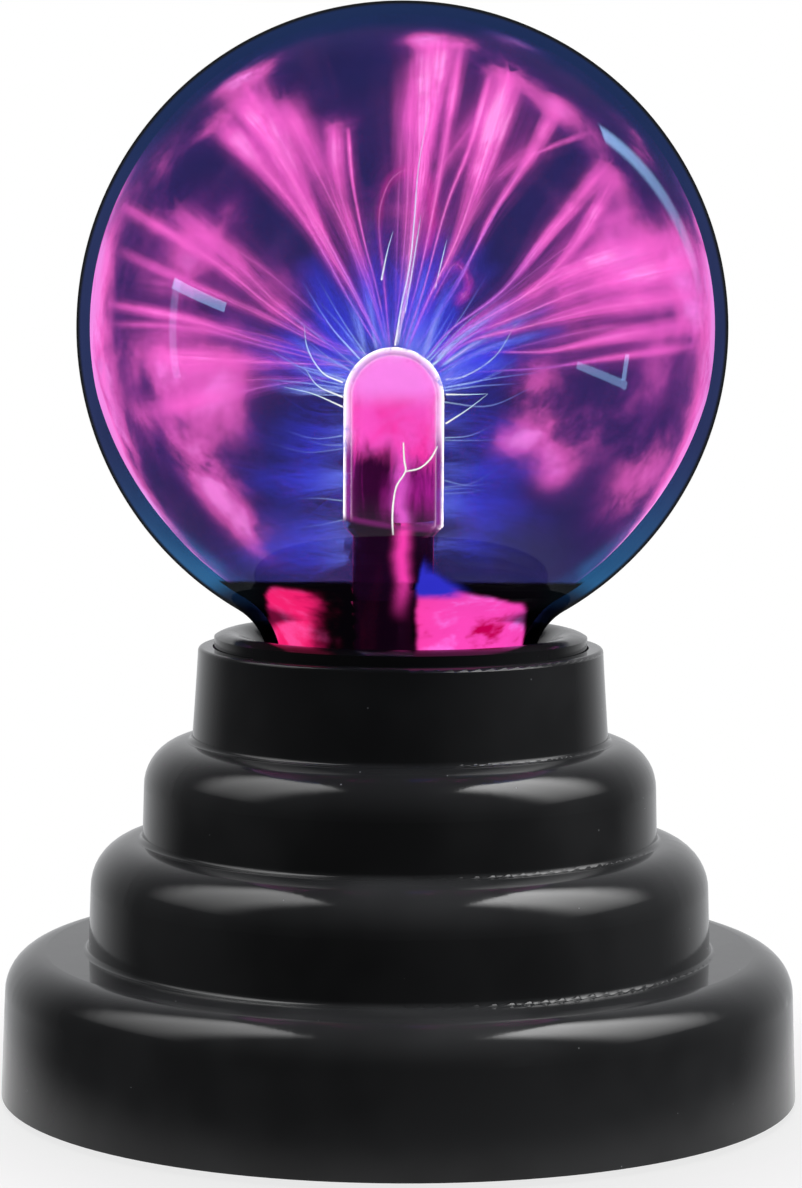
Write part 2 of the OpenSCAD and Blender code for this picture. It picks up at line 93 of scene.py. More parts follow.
class Nodes:
    """The nodes of a new material, or of a world or light, and short ways to add to them."""

    def __init__(self, owner, output="OutputMaterial"):
        self.owner = bpy.data.materials.new(owner) if isinstance(owner, str) else owner
        self.owner.use_nodes = True
        self.tree = self.owner.node_tree
        self.tree.nodes.clear()
        self.out = self.add(output)

    def add(self, kind, inputs=None, **settings):
        node = self.tree.nodes.new("ShaderNode" + kind)
        for key, value in settings.items():
            setattr(node, key, value)
        for key, value in (inputs or {}).items():
            self.feed(node.inputs[key], value)
        return node

    def feed(self, socket, value):
        if isinstance(value, bpy.types.NodeSocket):
            self.tree.links.new(value, socket)
        elif socket.type == "RGBA" and len(value) == 3:
            socket.default_value = (*value, 1)
        else:
            socket.default_value = value

    def math(self, operation, a, b=0.0, clamp=False):
        return self.add("Math", {0: a, 1: b}, operation=operation, use_clamp=clamp).outputs[0]

    def times(self, a, b):
        return self.math("MULTIPLY", a, b)

    def plus(self, a, b):
        return self.math("ADD", a, b)

    def minus(self, a, b):
        return self.math("SUBTRACT", a, b)

    def length(self, *parts):
        """The length of the vector that has these parts."""
        total = self.times(parts[0], parts[0])
        for part in parts[1:]:
            total = self.plus(total, self.times(part, part))
        return self.math("SQRT", total)

    def ramp(self, fac, *stops):
        """A smooth colour or grey ramp through (position, value) stops."""
        node = self.add("ValToRGB", {"Fac": fac})
        ramp = node.color_ramp
        ramp.interpolation = "EASE"
        while len(ramp.elements) < len(stops):
            ramp.elements.new(0.5)
        for element, (position, value) in zip(ramp.elements, stops):
            element.position = position
            element.color = (*value, 1) if isinstance(value, tuple) else (value, value, value, 1)
        return node.outputs["Color"]

    def span(self, value, low, high, to_low=0.0, to_high=1.0):
        """value carried from low..high to to_low..to_high, clamped and eased."""
        node = self.add("MapRange", {"Value": value, "From Min": low, "From Max": high, "To Min": to_low,
            "To Max": to_high}, interpolation_type="SMOOTHSTEP")
        return node.outputs["Result"]

    def noise(self, scale, detail=3.0, vector=None, roughness=0.55, distortion=0.0, stretch=None):
        """Noise in the object's own space, with scale in cycles per metre."""
        vector = vector or self.place()
        if stretch:
            vector = self.add("Mapping", {"Vector": vector, "Scale": stretch}).outputs[0]
        return self.add("TexNoise", {"Vector": vector, "Scale": scale, "Detail": detail,
            "Roughness": roughness, "Distortion": distortion}).outputs["Fac"]

    def place(self):
        return self.add("TexCoord").outputs["Object"]

    def axis(self, name, vector=None):
        return self.add("SeparateXYZ", {0: vector or self.place()}).outputs[name]

    def value(self, name):
        return self.add("Attribute", attribute_name=name).outputs["Fac"]

    def mix(self, fac, a, b):
        return self.add("Mix", {0: fac, 6: a, 7: b}, data_type="RGBA").outputs[2]

    def bump(self, height, strength, distance):
        return self.add("Bump", {"Height": height, "Strength": strength, "Distance": distance}).outputs[0]

    def glowing(self, colour, alpha=1.0, base=(0, 0, 0), roughness=1.0, specular=0.0):
        """A dark surface that gives off light of its own."""
        return self.add("BsdfPrincipled", {"Base Color": base, "Roughness": roughness,
            "Specular IOR Level": specular, "Emission Color": colour, "Emission Strength": 1.0,
            "Alpha": alpha})

    def finish(self, shader):
        self.tree.links.new(shader.outputs[0], self.out.inputs["Surface"])
        return self.owner


def moulded(name, colour, roughness, grain=9000.0, grain_depth=0.02, specular=0.5, dust=0.0):
    """Moulded plastic or rubber: fine grain, slow changes of gloss, and specks of dust if wanted."""
    n = Nodes(name)
    slow = n.noise(60.0, 2.0)
    fine = n.noise(grain, 2.0)
    lift = tuple(min(1.0, 1.35 * c + 0.002) for c in colour)
    base = n.mix(n.span(slow, 0.35, 0.65), colour, lift)
    rough = n.span(n.noise(420.0, 4.0), 0.3, 0.7, roughness * 0.8, roughness * 1.25)
    if dust:
        cells = n.add("TexVoronoi", {"Vector": n.place(), "Scale": 420.0}).outputs["Distance"]
        speck = n.times(n.span(cells, 0.05, 0.035), n.span(n.noise(90.0, 1.0), 0.55, 0.6))
        base = n.mix(n.times(speck, dust), base, (0.35, 0.36, 0.38))
        rough = n.plus(rough, n.times(speck, 0.4))
    shader = n.add("BsdfPrincipled", {"Base Color": base, "Roughness": rough,
        "Specular IOR Level": specular, "Normal": n.bump(fine, grain_depth, 0.0002)})
    return n.finish(shader)


def metal(name, colour, roughness, stretch=(1, 1, 1), worn=0.15):
    """Plated or drawn metal, with fine scratches along one axis and duller patches."""
    n = Nodes(name)
    lines = n.noise(3000.0, 3.0, stretch=stretch)
    patch = n.noise(250.0, 3.0)
    dull = tuple(c * 0.72 for c in colour)
    base = n.mix(n.span(patch, 0.4, 0.75, 0.0, worn * 4), colour, dull)
    rough = n.span(lines, 0.3, 0.7, roughness * 0.7, roughness * 1.4)
    shader = n.add("BsdfPrincipled", {"Base Color": base, "Metallic": 1.0, "Roughness": rough,
        "Normal": n.bump(lines, 0.05, 0.0001)})
    return n.finish(shader)


# ---- meshes ----

def piece(name, mesh_or_curve, material, body="base"):
    obj = bpy.data.objects.new(name, mesh_or_curve)
    bpy.context.scene.collection.objects.link(obj)
    mesh_or_curve.materials.append(material)
    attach(obj, body)
    return obj


def lathe(name, profile, sides, closed=False):
    """A smooth surface of revolution about the globe's axis, from (radius, height) points. closed joins the
    last point to the first, which makes it a solid."""
    mesh = bpy.data.meshes.new(name)
    verts = []
    faces = []
    rows = []
    for radius, height in profile:
        if radius < 1e-7:
            rows.append([len(verts)] * sides)
            verts.append((0, 0, height))
            continue
        rows.append(list(range(len(verts), len(verts) + sides)))
        angles = [2 * math.pi * i / sides for i in range(sides)]
        verts += [(radius * math.cos(a), radius * math.sin(a), height) for a in angles]
    for low, high in zip(rows, rows[1:] + rows[:1] if closed else rows[1:]):
        for i in range(sides):
            j = (i + 1) % sides
            corners = list(dict.fromkeys((low[i], low[j], high[j], high[i])))
            if len(corners) > 2:
                faces.append(corners)
    mesh.from_pydata(verts, [], faces)
    mesh.shade_smooth()
    return mesh


def envelope_profile(inset, foot, steps=96):
    """The globe's outline, drawn in by inset: neck from foot up, concave blend, then ball to its top."""
    r = GLOBE_R - inset
    rn = NECK_R - inset
    rb = NECK_BLEND + inset
    blend_z = CENTRE.z - math.sqrt((r + rb) ** 2 - (rn + rb) ** 2)
    meet = math.atan2(CENTRE.z - blend_z, rn + rb)
    points = [(rn, foot)]
    points += [(rn + rb - rb * math.cos(meet * i / 12), blend_z + rb * math.sin(meet * i / 12))
        for i in range(12)]
    start = -meet
    for i in range(steps + 1):
        a = start + (math.pi / 2 - start) * i / steps
        points.append((max(0.0, r * math.cos(a)), CENTRE.z + r * math.sin(a)))
    return points


# ---- corners of the base ----

# The inner corners, where one tier's wall rises from the shelf below: radius and height
CORNERS = [(38.7 * MM, 18.6 * MM), (32.0 * MM, 32.4 * MM), (25.9 * MM, 44.7 * MM)]
# A little more than the shell's own fillet, which the rings cover
CORNER_FILLET = 0.62 * MM


def shell_plastic(name, dust=0.0):
    """The base's gloss black plastic."""
    return moulded(name, (0.0175, 0.0180, 0.0190), 0.11, 2600.0, 0.015, 0.24, dust)


def make_corner_fillets():
    """Rings that round off the base's inner corners, smooth all the way round."""
    plastic = shell_plastic("gloss_black_fillet")
    reach = CORNER_FILLET
    buried = reach / 2
    rings = []
    for k, (radius, height) in enumerate(CORNERS):
        turns = [math.pi / 2 * i / 8 for i in range(9)]
        section = [(radius + reach * (1 - math.sin(a)), height + reach * (1 - math.cos(a))) for a in turns]
        section += [(radius - buried, height + reach), (radius - buried, height - buried),
            (radius + reach, height - buried)]
        mesh = lathe("corner_fillet_%d" % (k + 1), section, 360, closed=True)
        mesh.set_sharp_from_angle(angle=math.radians(40))
        rings.append(piece(mesh.name, mesh, plastic))
    return rings


# ---- globe ----

def globe_glass():
    """Dark blue tinted glass. Its edge, seen through a longer way of glass, is navy. Low down the edge is
    teal, painted light from the plasma's glow, and below the neck's top it is near black, painted shade.
    """
    n = Nodes("tinted_globe_glass")
    facing = n.add("LayerWeight", {"Blend": 0.5}).outputs["Facing"]
    height = n.axis("Z")
    mottle = n.span(n.noise(60.0, 3.0), 0.3, 0.7)
    # Teal along the lower edge is painted light: the plasma's glow, caught in the glass.
    edge_low_painted_glow = n.mix(mottle, (0.10, 0.31, 0.49), (0.15, 0.38, 0.57))
    edge_high = n.mix(mottle, (0.10, 0.14, 0.29), (0.13, 0.165, 0.34))
    edge_high = n.mix(n.span(height, CENTRE.z + 0.2 * GLOBE_R, CENTRE.z + 0.8 * GLOBE_R), edge_high,
        (0.05, 0.13, 0.29))
    edge = n.mix(n.span(height, CENTRE.z - 0.9 * GLOBE_R, CENTRE.z - 0.3 * GLOBE_R), edge_low_painted_glow, edge_high)
    # Below the neck's top the edge turns near black: painted shade.
    edge = n.mix(n.span(height, NECK_TOP, NECK_TOP - 2.5 * MM), edge, (0.02, 0.03, 0.06))
    middle = n.mix(mottle, tuple(0.94 * c for c in TINT), tuple(1.06 * c for c in TINT))
    lift = n.span(height, CENTRE.z, GLOBE_HIGH.z, 0.0, 0.05)
    low_lift = n.span(height, CENTRE.z - 0.35 * GLOBE_R, CENTRE.z - 0.7 * GLOBE_R, 0.0, 0.09)
    low_lift = n.times(low_lift, n.span(height, NECK_TOP - 1 * MM, NECK_TOP + 1.5 * MM))
    lift = n.plus(lift, low_lift)
    tint = n.mix(n.span(n.plus(facing, lift), 0.63, 0.72), middle, edge)
    tint = n.mix(n.span(facing, 0.83, 0.92), tint, (0.001, 0.001, 0.003))
    clear = n.add("BsdfTransparent", {"Color": tint})
    smear = n.span(n.noise(30.0, 4.0, distortion=0.5), 0.4, 0.7, 0.02, 0.06)
    gloss = n.add("BsdfGlossy", {"Color": (0.9, 0.95, 1.0), "Roughness": smear})
    return n.finish(n.add("MixShader", {0: 0.02, 1: clear.outputs[0], 2: gloss.outputs[0]}))


def inner_glass():
    """The inside face of the globe's glass: a faint sheen."""
    n = Nodes("inner_glass_face")
    clear = n.add("BsdfTransparent", {"Color": (1, 1, 1)})
    wisp = n.span(n.noise(70.0, 3.0), 0.5, 0.8, 0.0, 0.012)
    gloss = n.add("BsdfGlossy", {"Color": (0.6, 0.75, 1.0), "Roughness": 0.08})
    return n.finish(n.add("MixShader", {0: wisp, 1: clear.outputs[0], 2: gloss.outputs[0]}))


def make_globe():
    """The glass, as one closed skin: up the outside and down the inside, which has a look of its own."""
    outer = envelope_profile(0, GLOBE_LOW.z)
    inner = envelope_profile(WALL, GLOBE_LOW.z)
    sides = 192
    mesh = lathe("glass_globe", outer + inner[::-1], sides, closed=True)
    globe = piece("glass_globe", mesh, globe_glass())
    mesh.materials.append(inner_glass())
    skin = (len(outer) - 1) * sides
    for face in mesh.polygons[skin:2 * skin]:
        face.material_index = 1
    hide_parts("globe_envelope")


# ---- plasma ----

# How far the densest gas turns pale, and how much gas is left between its streaks
PALE_SHARE = 0.55
STRIPE_LOW = 0.13


def glow_material(name, striped=True):
    """Glowing gas on soft-edged ribbons. Each point's colour, power and place across and along the ribbon
    are stored on the mesh."""
    n = Nodes(name)
    across = n.value("across")
    along = n.value("along")
    power = n.value("power")
    tint = n.add("Attribute", attribute_name="tint").outputs["Color"]
    edge = n.math("SUBTRACT", 1.0, n.times(across, across), clamp=True)
    alpha = n.times(n.math("POWER", edge, 1.8), power)
    if striped:
        lines = n.add("CombineXYZ", {0: n.times(across, 2.6), 1: n.times(along, 1.2),
            2: n.value("seed")}).outputs[0]
        streak = n.span(n.noise(2.4, 5.0, lines, 0.62, 0.5), 0.36, 0.66, STRIPE_LOW, 1.0)
        streak = n.add("Mix", {0: n.span(along, 0.45, 0.9, 0.0, 0.6), 2: streak, 3: 0.85}).outputs[0]
        cloud = n.span(n.noise(95.0, 5.0, roughness=0.6, distortion=0.7), 0.30, 0.68, 0.42, 1.30)
        alpha = n.times(alpha, n.times(streak, cloud))
    alpha = n.math("MINIMUM", alpha, 0.97)
    tint = n.mix(n.span(alpha, 0.40, 0.95, 0.0, PALE_SHARE), tint, PALE_PINK) if striped else tint
    return n.finish(n.glowing(tint, alpha))


def smooth_path(points, steps):
    """A Catmull-Rom curve through points."""
    points = [Vector(p) for p in points]
    padded = [points[0] * 2 - points[1]] + points + [points[-1] * 2 - points[-2]]
    out = []
    for i in range(1, len(padded) - 2):
        a, b, c, d = padded[i - 1:i + 3]
        for k in range(steps):
            t = k / steps
            out.append(0.5 * (2 * b + (c - a) * t + (2 * a - 5 * b + 4 * c - d) * t * t
                + (3 * b - a - 3 * c + d) * t ** 3))
    out.append(points[-1])
    return out


def inside_glass(point):
    """The point, drawn in towards the globe's centre where it would reach into the glass."""
    out = point - CENTRE
    limit = GLOBE_R - LINING_INSET - 0.05 * MM
    return CENTRE + out * min(1.0, limit / max(out.length, limit / 2))


class Ribbons:
    """Soft ribbons gathered into one mesh, with their colours and powers stored at each point."""

    def __init__(self):
        self.verts = []
        self.faces = []
        self.data = {"across": [], "along": [], "seed": [], "power": []}
        self.tint = []

    def add(self, path, width, colour, power, strips=3, seed=0.0, turn=0.6, columns=5):
        """width, colour and power are functions of the share of the way along the path, 0 to 1."""
        n = len(path)
        side = Vector((0.37, 0.21, 0.9)).normalized()
        for s in range(strips):
            base = len(self.verts)
            for i, p in enumerate(path):
                t = i / (n - 1)
                ahead = (path[min(i + 1, n - 1)] - path[max(i - 1, 0)]).normalized()
                u = ahead.cross(side).normalized()
                v = ahead.cross(u)
                angle = math.pi * s / strips + turn * t + 0.3 * seed
                out = u * math.cos(angle) + v * math.sin(angle)
                for c in range(columns):
                    x = 2 * c / (columns - 1) - 1
                    self.verts.append(inside_glass(p + out * x * width(t)))
                    self.data["across"].append(x)
                    self.data["along"].append(t)
                    self.data["seed"].append(seed * 7.3 + s * 3.1)
                    self.data["power"].append(power(t))
                    self.tint.append((*colour(t), 1.0))
            for i in range(n - 1):
                for c in range(columns - 1):
                    a = base + i * columns + c
                    self.faces.append((a, a + 1, a + columns + 1, a + columns))

    def mesh(self, name):
        mesh = bpy.data.meshes.new(name)
        mesh.from_pydata(self.verts, [], self.faces)
        for key, values in self.data.items():
            layer = mesh.attributes.new(key, "FLOAT", "POINT")
            layer.data.foreach_set("value", values)
        layer = mesh.attributes.new("tint", "FLOAT_COLOR", "POINT")
        layer.data.foreach_set("color", [c for colour in self.tint for c in colour])
        mesh.shade_smooth()
        return mesh


def glow_piece(name, ribbons, looks, striped=True):
    """The ribbons as one piece of glowing gas."""
    piece(name, ribbons.mesh(name), glow_material(looks, striped))


def clamp(value, low=0.0, high=1.0):
    return min(max(value, low), high)


def lerp(a, b, t):
    return tuple(x + (y - x) * t for x, y in zip(a, b))


def gradient(*stops):
    """A colour or number that runs through (share, value) stops."""
    def at(t):
        for (t0, a), (t1, b) in zip(stops, stops[1:]):
            if t <= t1:
                share = clamp((t - t0) / (t1 - t0))
                return lerp(a, b, share) if isinstance(a, tuple) else a + (b - a) * share
        return stops[-1][1]
    return at


def seen(x, z, y=0.0):
    """The point at depth y that shows at x, z from the front, all in mm from the globe's centre."""
    ray = CENTRE + Vector((x, 0, z)) * MM - CAMERA_AT
    return CAMERA_AT + ray * (y * MM - CAMERA_AT.y) / -CAMERA_AT.y


def on_globe(x, z, back=1, share=0.955):
    """The point near the inside of the glass that shows at x, z from the front, on its far half (back 1)
    or its near half (back -1)."""
    r = GLOBE_R * share
    ray = (CENTRE + Vector((x, 0, z)) * MM - CAMERA_AT).normalized()
    to_centre = CENTRE - CAMERA_AT
    middle = ray.dot(to_centre)
    off = math.sqrt(max(0.0, to_centre.length_squared - middle ** 2))
    half = math.sqrt(max(0.0, r * r - off * off))
    point = CAMERA_AT + ray * (middle + back * half)
    if half == 0.0:
        point = CENTRE + (point - CENTRE).normalized() * r
    return point


def root(angle, lean=0.0, rise=0.0):
    """A point on the finger: angle 0 is +X and 90 is straight up in the front view, lean turns it back,
    and rise lifts it along the finger in millimetres."""
    a = math.radians(angle)
    b = math.radians(lean)
    dome = Vector((FINGER_X, 0, FINGER_TOP - FINGER_R))
    out = Vector((math.cos(a) * math.cos(b), math.sin(b), math.sin(a) * math.cos(b)))
    return dome + out.normalized() * (FINGER_R + 0.1 * MM) + Vector((0, 0, rise * MM))


# Streamers: root (angle, lean); places passed on the way (x, z as seen from the front, depth y);
# end on the glass (x, z, side); half widths half way and at the flare, mm; power; and look.
STREAMERS = [
    # straight up
    ((88, 0), [(0.5, 5, 0), (1.6, 15, 1), (2.5, 24, 2)], (3.0, 35.2, 1), 1.3, 3.0, 1.4, "bright"),
    ((86, 0), [(0.6, 6, 0), (2.0, 18, 1), (3.9, 28, 2)], (4.8, 35.4, 1), 0.4, 2.8, 1.2, "bright"),
    ((84, -10), [(1.9, 6, -2), (3.6, 14, -3), (5.3, 24, -3)], (6.9, 35.0, -1), 0.5, 1.6, 0.8, "pink"),
    ((92, 20), [(-0.3, 5, 3), (0.4, 14, 6), (0.8, 24, 8)], (1.0, 33.0, 1), 0.9, 1.6, 0.55, "pink"),
    # up and to the right
    ((76, -25), [(3.3, 4, -4), (6.6, 11, -7), (9.4, 19.5, -9)], (13.0, 31.5, -1), 1.1, 3.2, 1.35, "band"),
    ((80, -20), [(2.6, 5, -4), (5.3, 15, -7), (8.2, 22.5, -9)], (10.6, 31.0, -1), 0.35, 0.9, 0.9, "pink"),
    ((66, 20), [(7.0, 6, 6), (11.0, 14.2, 10), (15.4, 21.0, 13)], (19.2, 28.2, 1), 0.6, 2.1, 1.0, "pink"),
    ((66, 20), [(9.0, 10, 8), (14.6, 20.0, 13), (18, 22.3, 14)], (23.0, 24.2, 1), 0.35, 0.8, 0.5, "violet"),
    # fan to the right
    ((52, -10), [(6, 0, -2), (12.5, 5, -5), (18.7, 12.7, -8)], (25.2, 20.5, -1), 0.5, 2.2, 0.85, "violet"),
    ((50, -5), [(8, 0.0, -2), (16.0, 5.0, -4), (21.5, 11.0, -6)], (26.2, 19.5, -1), 0.5, 2.0, 0.75, "pink"),
    ((40, 20), [(7, -0.6, 3), (13.5, 3.2, 7), (21, 7.4, 10)], (34.0, 11.5, 1), 1.7, 4.2, 1.1, "band"),
    ((37, 0), [(8, -1.0, 0), (15, 2.0, 1), (23, 5.2, 2)], (36.0, 8.5, -1), 1.3, 3.4, 1.0, "band"),
    ((34, -15), [(8, -1.6, -3), (15, 0.3, -5), (24, 2.6, -7)], (36.5, 4.5, -1), 0.9, 2.6, 0.8, "band"),
    ((28, 30), [(9, -3, 4), (18, -2.6, 8), (26, -0.8, 12)], (36.5, 1.0, 1), 0.7, 2.2, 0.7, "pink"),
    ((24, 10), [(10, -5.2, 2), (18, -4.6, 5), (27, -3.2, 8)], (36.5, -1.8, 1), 0.5, 1.4, 0.45, "violet"),
    # fan up and to the left
    ((104, 10), [(-5.8, 4, 1), (-9.5, 10.5, 2), (-13.5, 18, 3)], (-19.3, 30.0, 1), 1.2, 4.4, 1.2, "band"),
    ((107, 25), [(-6.8, 4, 3), (-12.0, 13, 7), (-17.5, 20, 10)], (-22.3, 25.0, 1), 0.8, 2.8, 1.0, "pink"),
    ((103, 0), [(-5.8, 4.5, 0), (-10.5, 13, 1), (-16, 22.5, 3)], (-20.5, 28.0, -1), 0.7, 2.2, 0.9, "pink"),
    ((98, -10), [(-4.2, 5, -2), (-7.5, 13, -5), (-11.5, 21, -8)], (-15.0, 28.0, -1), 1.5, 2.8, 0.6, "pink"),
    ((97, 35), [(-3.8, 5, 5), (-6.2, 12, 10), (-8.0, 18, 13)], (-8.6, 25.0, 1), 1.3, 1.9, 0.85, "band"),
    ((95, 30), [(-3.2, 5, 5), (-4.8, 11, 9), (-6.2, 18, 12)], (-6.8, 24.5, 1), 0.25, 0.5, 0.9, "pink"),
    # two dim ones that curl over behind the finger
    ((95, 45), [(-2.4, 7, 6), (-2.9, 14, 9), (-1.2, 18.6, 10), (2.2, 19.2, 10), (3.6, 14, 10)],
        (2.6, 8.5, 1), 1.3, 1.2, 0.8, "deep"),
    ((75, 35), [(4.5, 5, 6), (6.5, 8, 9), (8.2, 5.5, 11)], (6.5, 3.0, 1), 0.9, 1.2, 0.7, "deep"),
    # fan to the left
    ((120, 15), [(-9.0, -2.0, 2), (-16, 2.5, 5), (-23, 8.0, 8)], (-34.5, 15.0, 1), 0.9, 1.6, 0.75, "band"),
    ((118, 25), [(-9, -1.5, 3), (-15.5, 3.2, 6), (-21.5, 9, 10)], (-28.0, 14.5, 1), 1.9, 3.0, 0.6, "pink"),
    ((126, -10), [(-9, -2.4, -2), (-16.5, 1.2, -4), (-25, 5, -6)], (-35.0, 9.5, -1), 0.6, 1.2, 0.4, "pink"),
    ((138, 10), [(-9, -3.6, 1), (-17.5, -1.5, 3), (-26, 1.0, 4)], (-36.5, 3.0, 1), 0.7, 1.3, 0.6, "pink"),
    ((142, 0), [(-9, -4.4, 1), (-16, -4.2, 3), (-22, -4.0, 5)], (-33, -3.5, 1), 1.6, 3.4, 0.65, "band"),
    ((148, -20), [(-9, -4.2, -3), (-17, -2.2, -5), (-26, 0, -8)], (-36.5, 0.5, -1), 0.5, 1, 0.35, "violet"),
    ((150, 20), [(-9, -6.0, 3), (-16, -7.0, 6), (-23, -8.5, 9)], (-33, -10.5, 1), 1.3, 3.4, 0.4, "violet"),
    # towards the back, mostly hidden from the front by the finger
    ((100, 60), [(-2.0, -6.0, 14)], (-2.5, -8.0, 1), 1.3, 3.2, 0.9, "pink"),
    ((80, 65), [(1.0, -9.0, 14)], (1.0, -15.0, 1), 1.2, 3.0, 0.8, "pink"),
    ((90, 70), [(-1.0, -10.0, 14)], (-3.0, -20.0, 1), 1.0, 2.6, 0.7, "band"),
]

# Dimmer streamers behind them: end on the far side of the glass (x, z as seen from the front)
FILL_STREAMERS = [(-14, 28), (-28, 12), (-33, 6), (-30, -7), (-34, -2), (10, 27), (17, 23), (29, 15),
    (31, 12), (33, -2), (33, 6), (1, 32)]
FILL_POWER = 0.24

# Thin blue filaments that fan out beside the finger: how many, and their reach in millimetres
FILAMENTS = 36
FILAMENT_REACH = (6, 14)

# Blue wisps round the finger
HAZE_WISPS = 84

LOOKS = {
    "bright": gradient((0, ICE), (0.22, PALE_PINK), (0.5, PINK), (1, PINK)),
    "deep": gradient((0, VIOLET), (0.3, DEEP_PINK), (1, DEEP_PINK)),
    "pink": gradient((0, BLUE), (0.26, VIOLET), (0.48, PINK), (1, PINK)),
    "violet": gradient((0, BLUE), (0.36, VIOLET), (0.70, PINK), (1, PINK)),
    "band": gradient((0, BLUE), (0.22, VIOLET), (0.42, PINK), (1, PINK)),
}


def fill_path(x, z, rng):
    """A wavering way from the dome to a point on the far side of the glass."""
    goal = on_globe(x, z)
    out = goal - CENTRE
    start = root(math.degrees(math.atan2(0.6 * GLOBE_R + out.z, out.x)), 35)
    sway = Vector((rng.uniform(-1, 1), rng.uniform(-1, 1), rng.uniform(0, 1.5))) * 2.5 * MM
    return smooth_path([start, start.lerp(goal, 0.35) + sway, start.lerp(goal, 0.7) + sway * 1.3, goal], 10)


def add_streamer(sheaths, threads, mists, path, mid, flare, power, colour, seed):
    wide = gradient((0, 0.25), (0.2, 0.45 * mid), (0.5, mid), (0.82, 0.55 * (mid + flare)), (1, flare))
    fade = gradient((0, 0.0), (0.05, 0.6), (0.25, 0.42), (0.55, 0.58), (0.88, 1.05), (1, 0.2))
    sheaths.add(path, lambda t: wide(t) * MM, colour, lambda t: fade(t) * power, 3, seed, 0.5)
    haze = gradient((0, 0.0), (0.3, 0.09), (0.8, 0.24), (1, 0.05))
    mists.add(path, lambda t: (0.9 + 1.8 * wide(t)) * MM, lambda t: lerp(colour(t), MAGENTA, 0.6),
        lambda t: haze(t) * power, 2, seed + 0.2, 0.5)
    thin = gradient((0, 0.20), (0.5, 0.14), (1, 0.10))
    glow = gradient((0, 0.0), (0.05, 0.35), (0.35, 0.5), (0.55, 0.55), (0.8, 0.3), (1, 0.0))
    threads.add(path, lambda t: thin(t) * MM, lambda t: lerp(colour(t), PALE_PINK, 0.55),
        lambda t: glow(t) * power, 2, seed + 0.5, 0.2, 3)


def make_streamers():
    """Each streamer: a thin bright thread, and a soft sheath that opens like a trumpet at the glass."""
    sheaths = Ribbons()
    threads = Ribbons()
    mists = Ribbons()
    for k, (base, middle, end, mid, flare, power, look) in enumerate(STREAMERS):
        path = smooth_path([root(*base)] + [seen(*p) for p in middle] + [on_globe(*end)], 10)
        add_streamer(sheaths, threads, mists, path, mid, flare, power, LOOKS[look], k + 1.0)
    rng = random.Random(11)
    for k, (x, z) in enumerate(FILL_STREAMERS):
        flare = rng.uniform(2.4, 4.0)
        path = fill_path(x, z, rng)
        add_streamer(sheaths, threads, mists, path, 1.2, flare, FILL_POWER, LOOKS["pink"], k + 30.0)
    glow_piece("plasma_mists", mists, "plasma_mist")
    glow_piece("plasma_sheaths", sheaths, "plasma_sheath")
    glow_piece("plasma_threads", threads, "plasma_thread", striped=False)


def make_root_haze():
    """Blue haze around the finger: fans of fine filaments, and wide soft wisps low down at its sides."""
    haze = Ribbons()
    rng = random.Random(5)
    for k in range(HAZE_WISPS):
        low = k % 2 == 0
        side = 1 if k % 4 < 2 else -1
        spread = rng.uniform(-12, 30) if low else rng.uniform(5, 88)
        angle = spread if side > 0 else 180 - spread
        start = root(angle, rng.uniform(-28, 60), rng.uniform(-21, 0) if low else 0.0)
        away = (start - Vector((FINGER_X, 0, start.z if low else FINGER_TOP - 1.3 * FINGER_R))).normalized()
        reach = rng.uniform(9, 17) * MM
        bend = Vector((rng.uniform(-1, 1), rng.uniform(-1, 1), rng.uniform(-0.8, 0.8))) * 0.3
        path = smooth_path([start, start + away * reach * 0.5, start + (away + bend) * reach], 6)
        full = rng.uniform(2.5, 5.5)
        wide = gradient((0, 1.4), (0.5, full), (1, full * 1.2))
        bright, dim = (0.32, 0.19) if low else (0.55, 0.38)
        fade = gradient((0, bright), (0.4, dim), (1, 0.0))
        haze.add(path, lambda t: wide(t) * MM, gradient((0, lerp(BLUE, ICE, 0.20)), (0.4, BLUE), (1, BLUE)),
            fade, 2, k + 60.0, 0.8)
    glow_piece("plasma_root_haze", haze, "plasma_haze")


def make_filaments():
    """Thin pale blue lines that fan out from both sides of the dome, and lower down from the finger."""
    lines = Ribbons()
    rng = random.Random(8)
    for k in range(FILAMENTS):
        low = k % 3 == 2
        spread = rng.uniform(-14, 8) if low else rng.uniform(-6, 58)
        angle = spread if k % 2 else 180 - spread
        start = root(angle, rng.uniform(-20, 40), rng.uniform(-14, -3) if low else 0.0)
        turn = math.radians(angle)
        away = Vector((math.cos(turn), rng.uniform(-0.4, 0.6), math.sin(turn)))
        reach = rng.uniform(*FILAMENT_REACH) * (0.7 if low else 1.0) * MM
        bend = Vector((0, rng.uniform(-0.3, 0.3), rng.uniform(-0.1, 0.25)))
        path = smooth_path([start, start + away * reach * 0.5, start + (away + bend) * reach], 8)
        power = rng.uniform(0.35, 0.9) * (0.45 if low else 1.0)
        fade = gradient((0, power), (0.5, 0.7 * power), (1, 0.0))
        colour = gradient((0, ICE), (0.5, lerp(BLUE, ICE, 0.5)), (1, lerp(BLUE, ICE, 0.25)))
        lines.add(path, lambda t: 0.16 * MM, colour, fade, 2, k + 120.0, 0.3, 3)
    glow_piece("plasma_filaments", lines, "plasma_filament", striped=False)


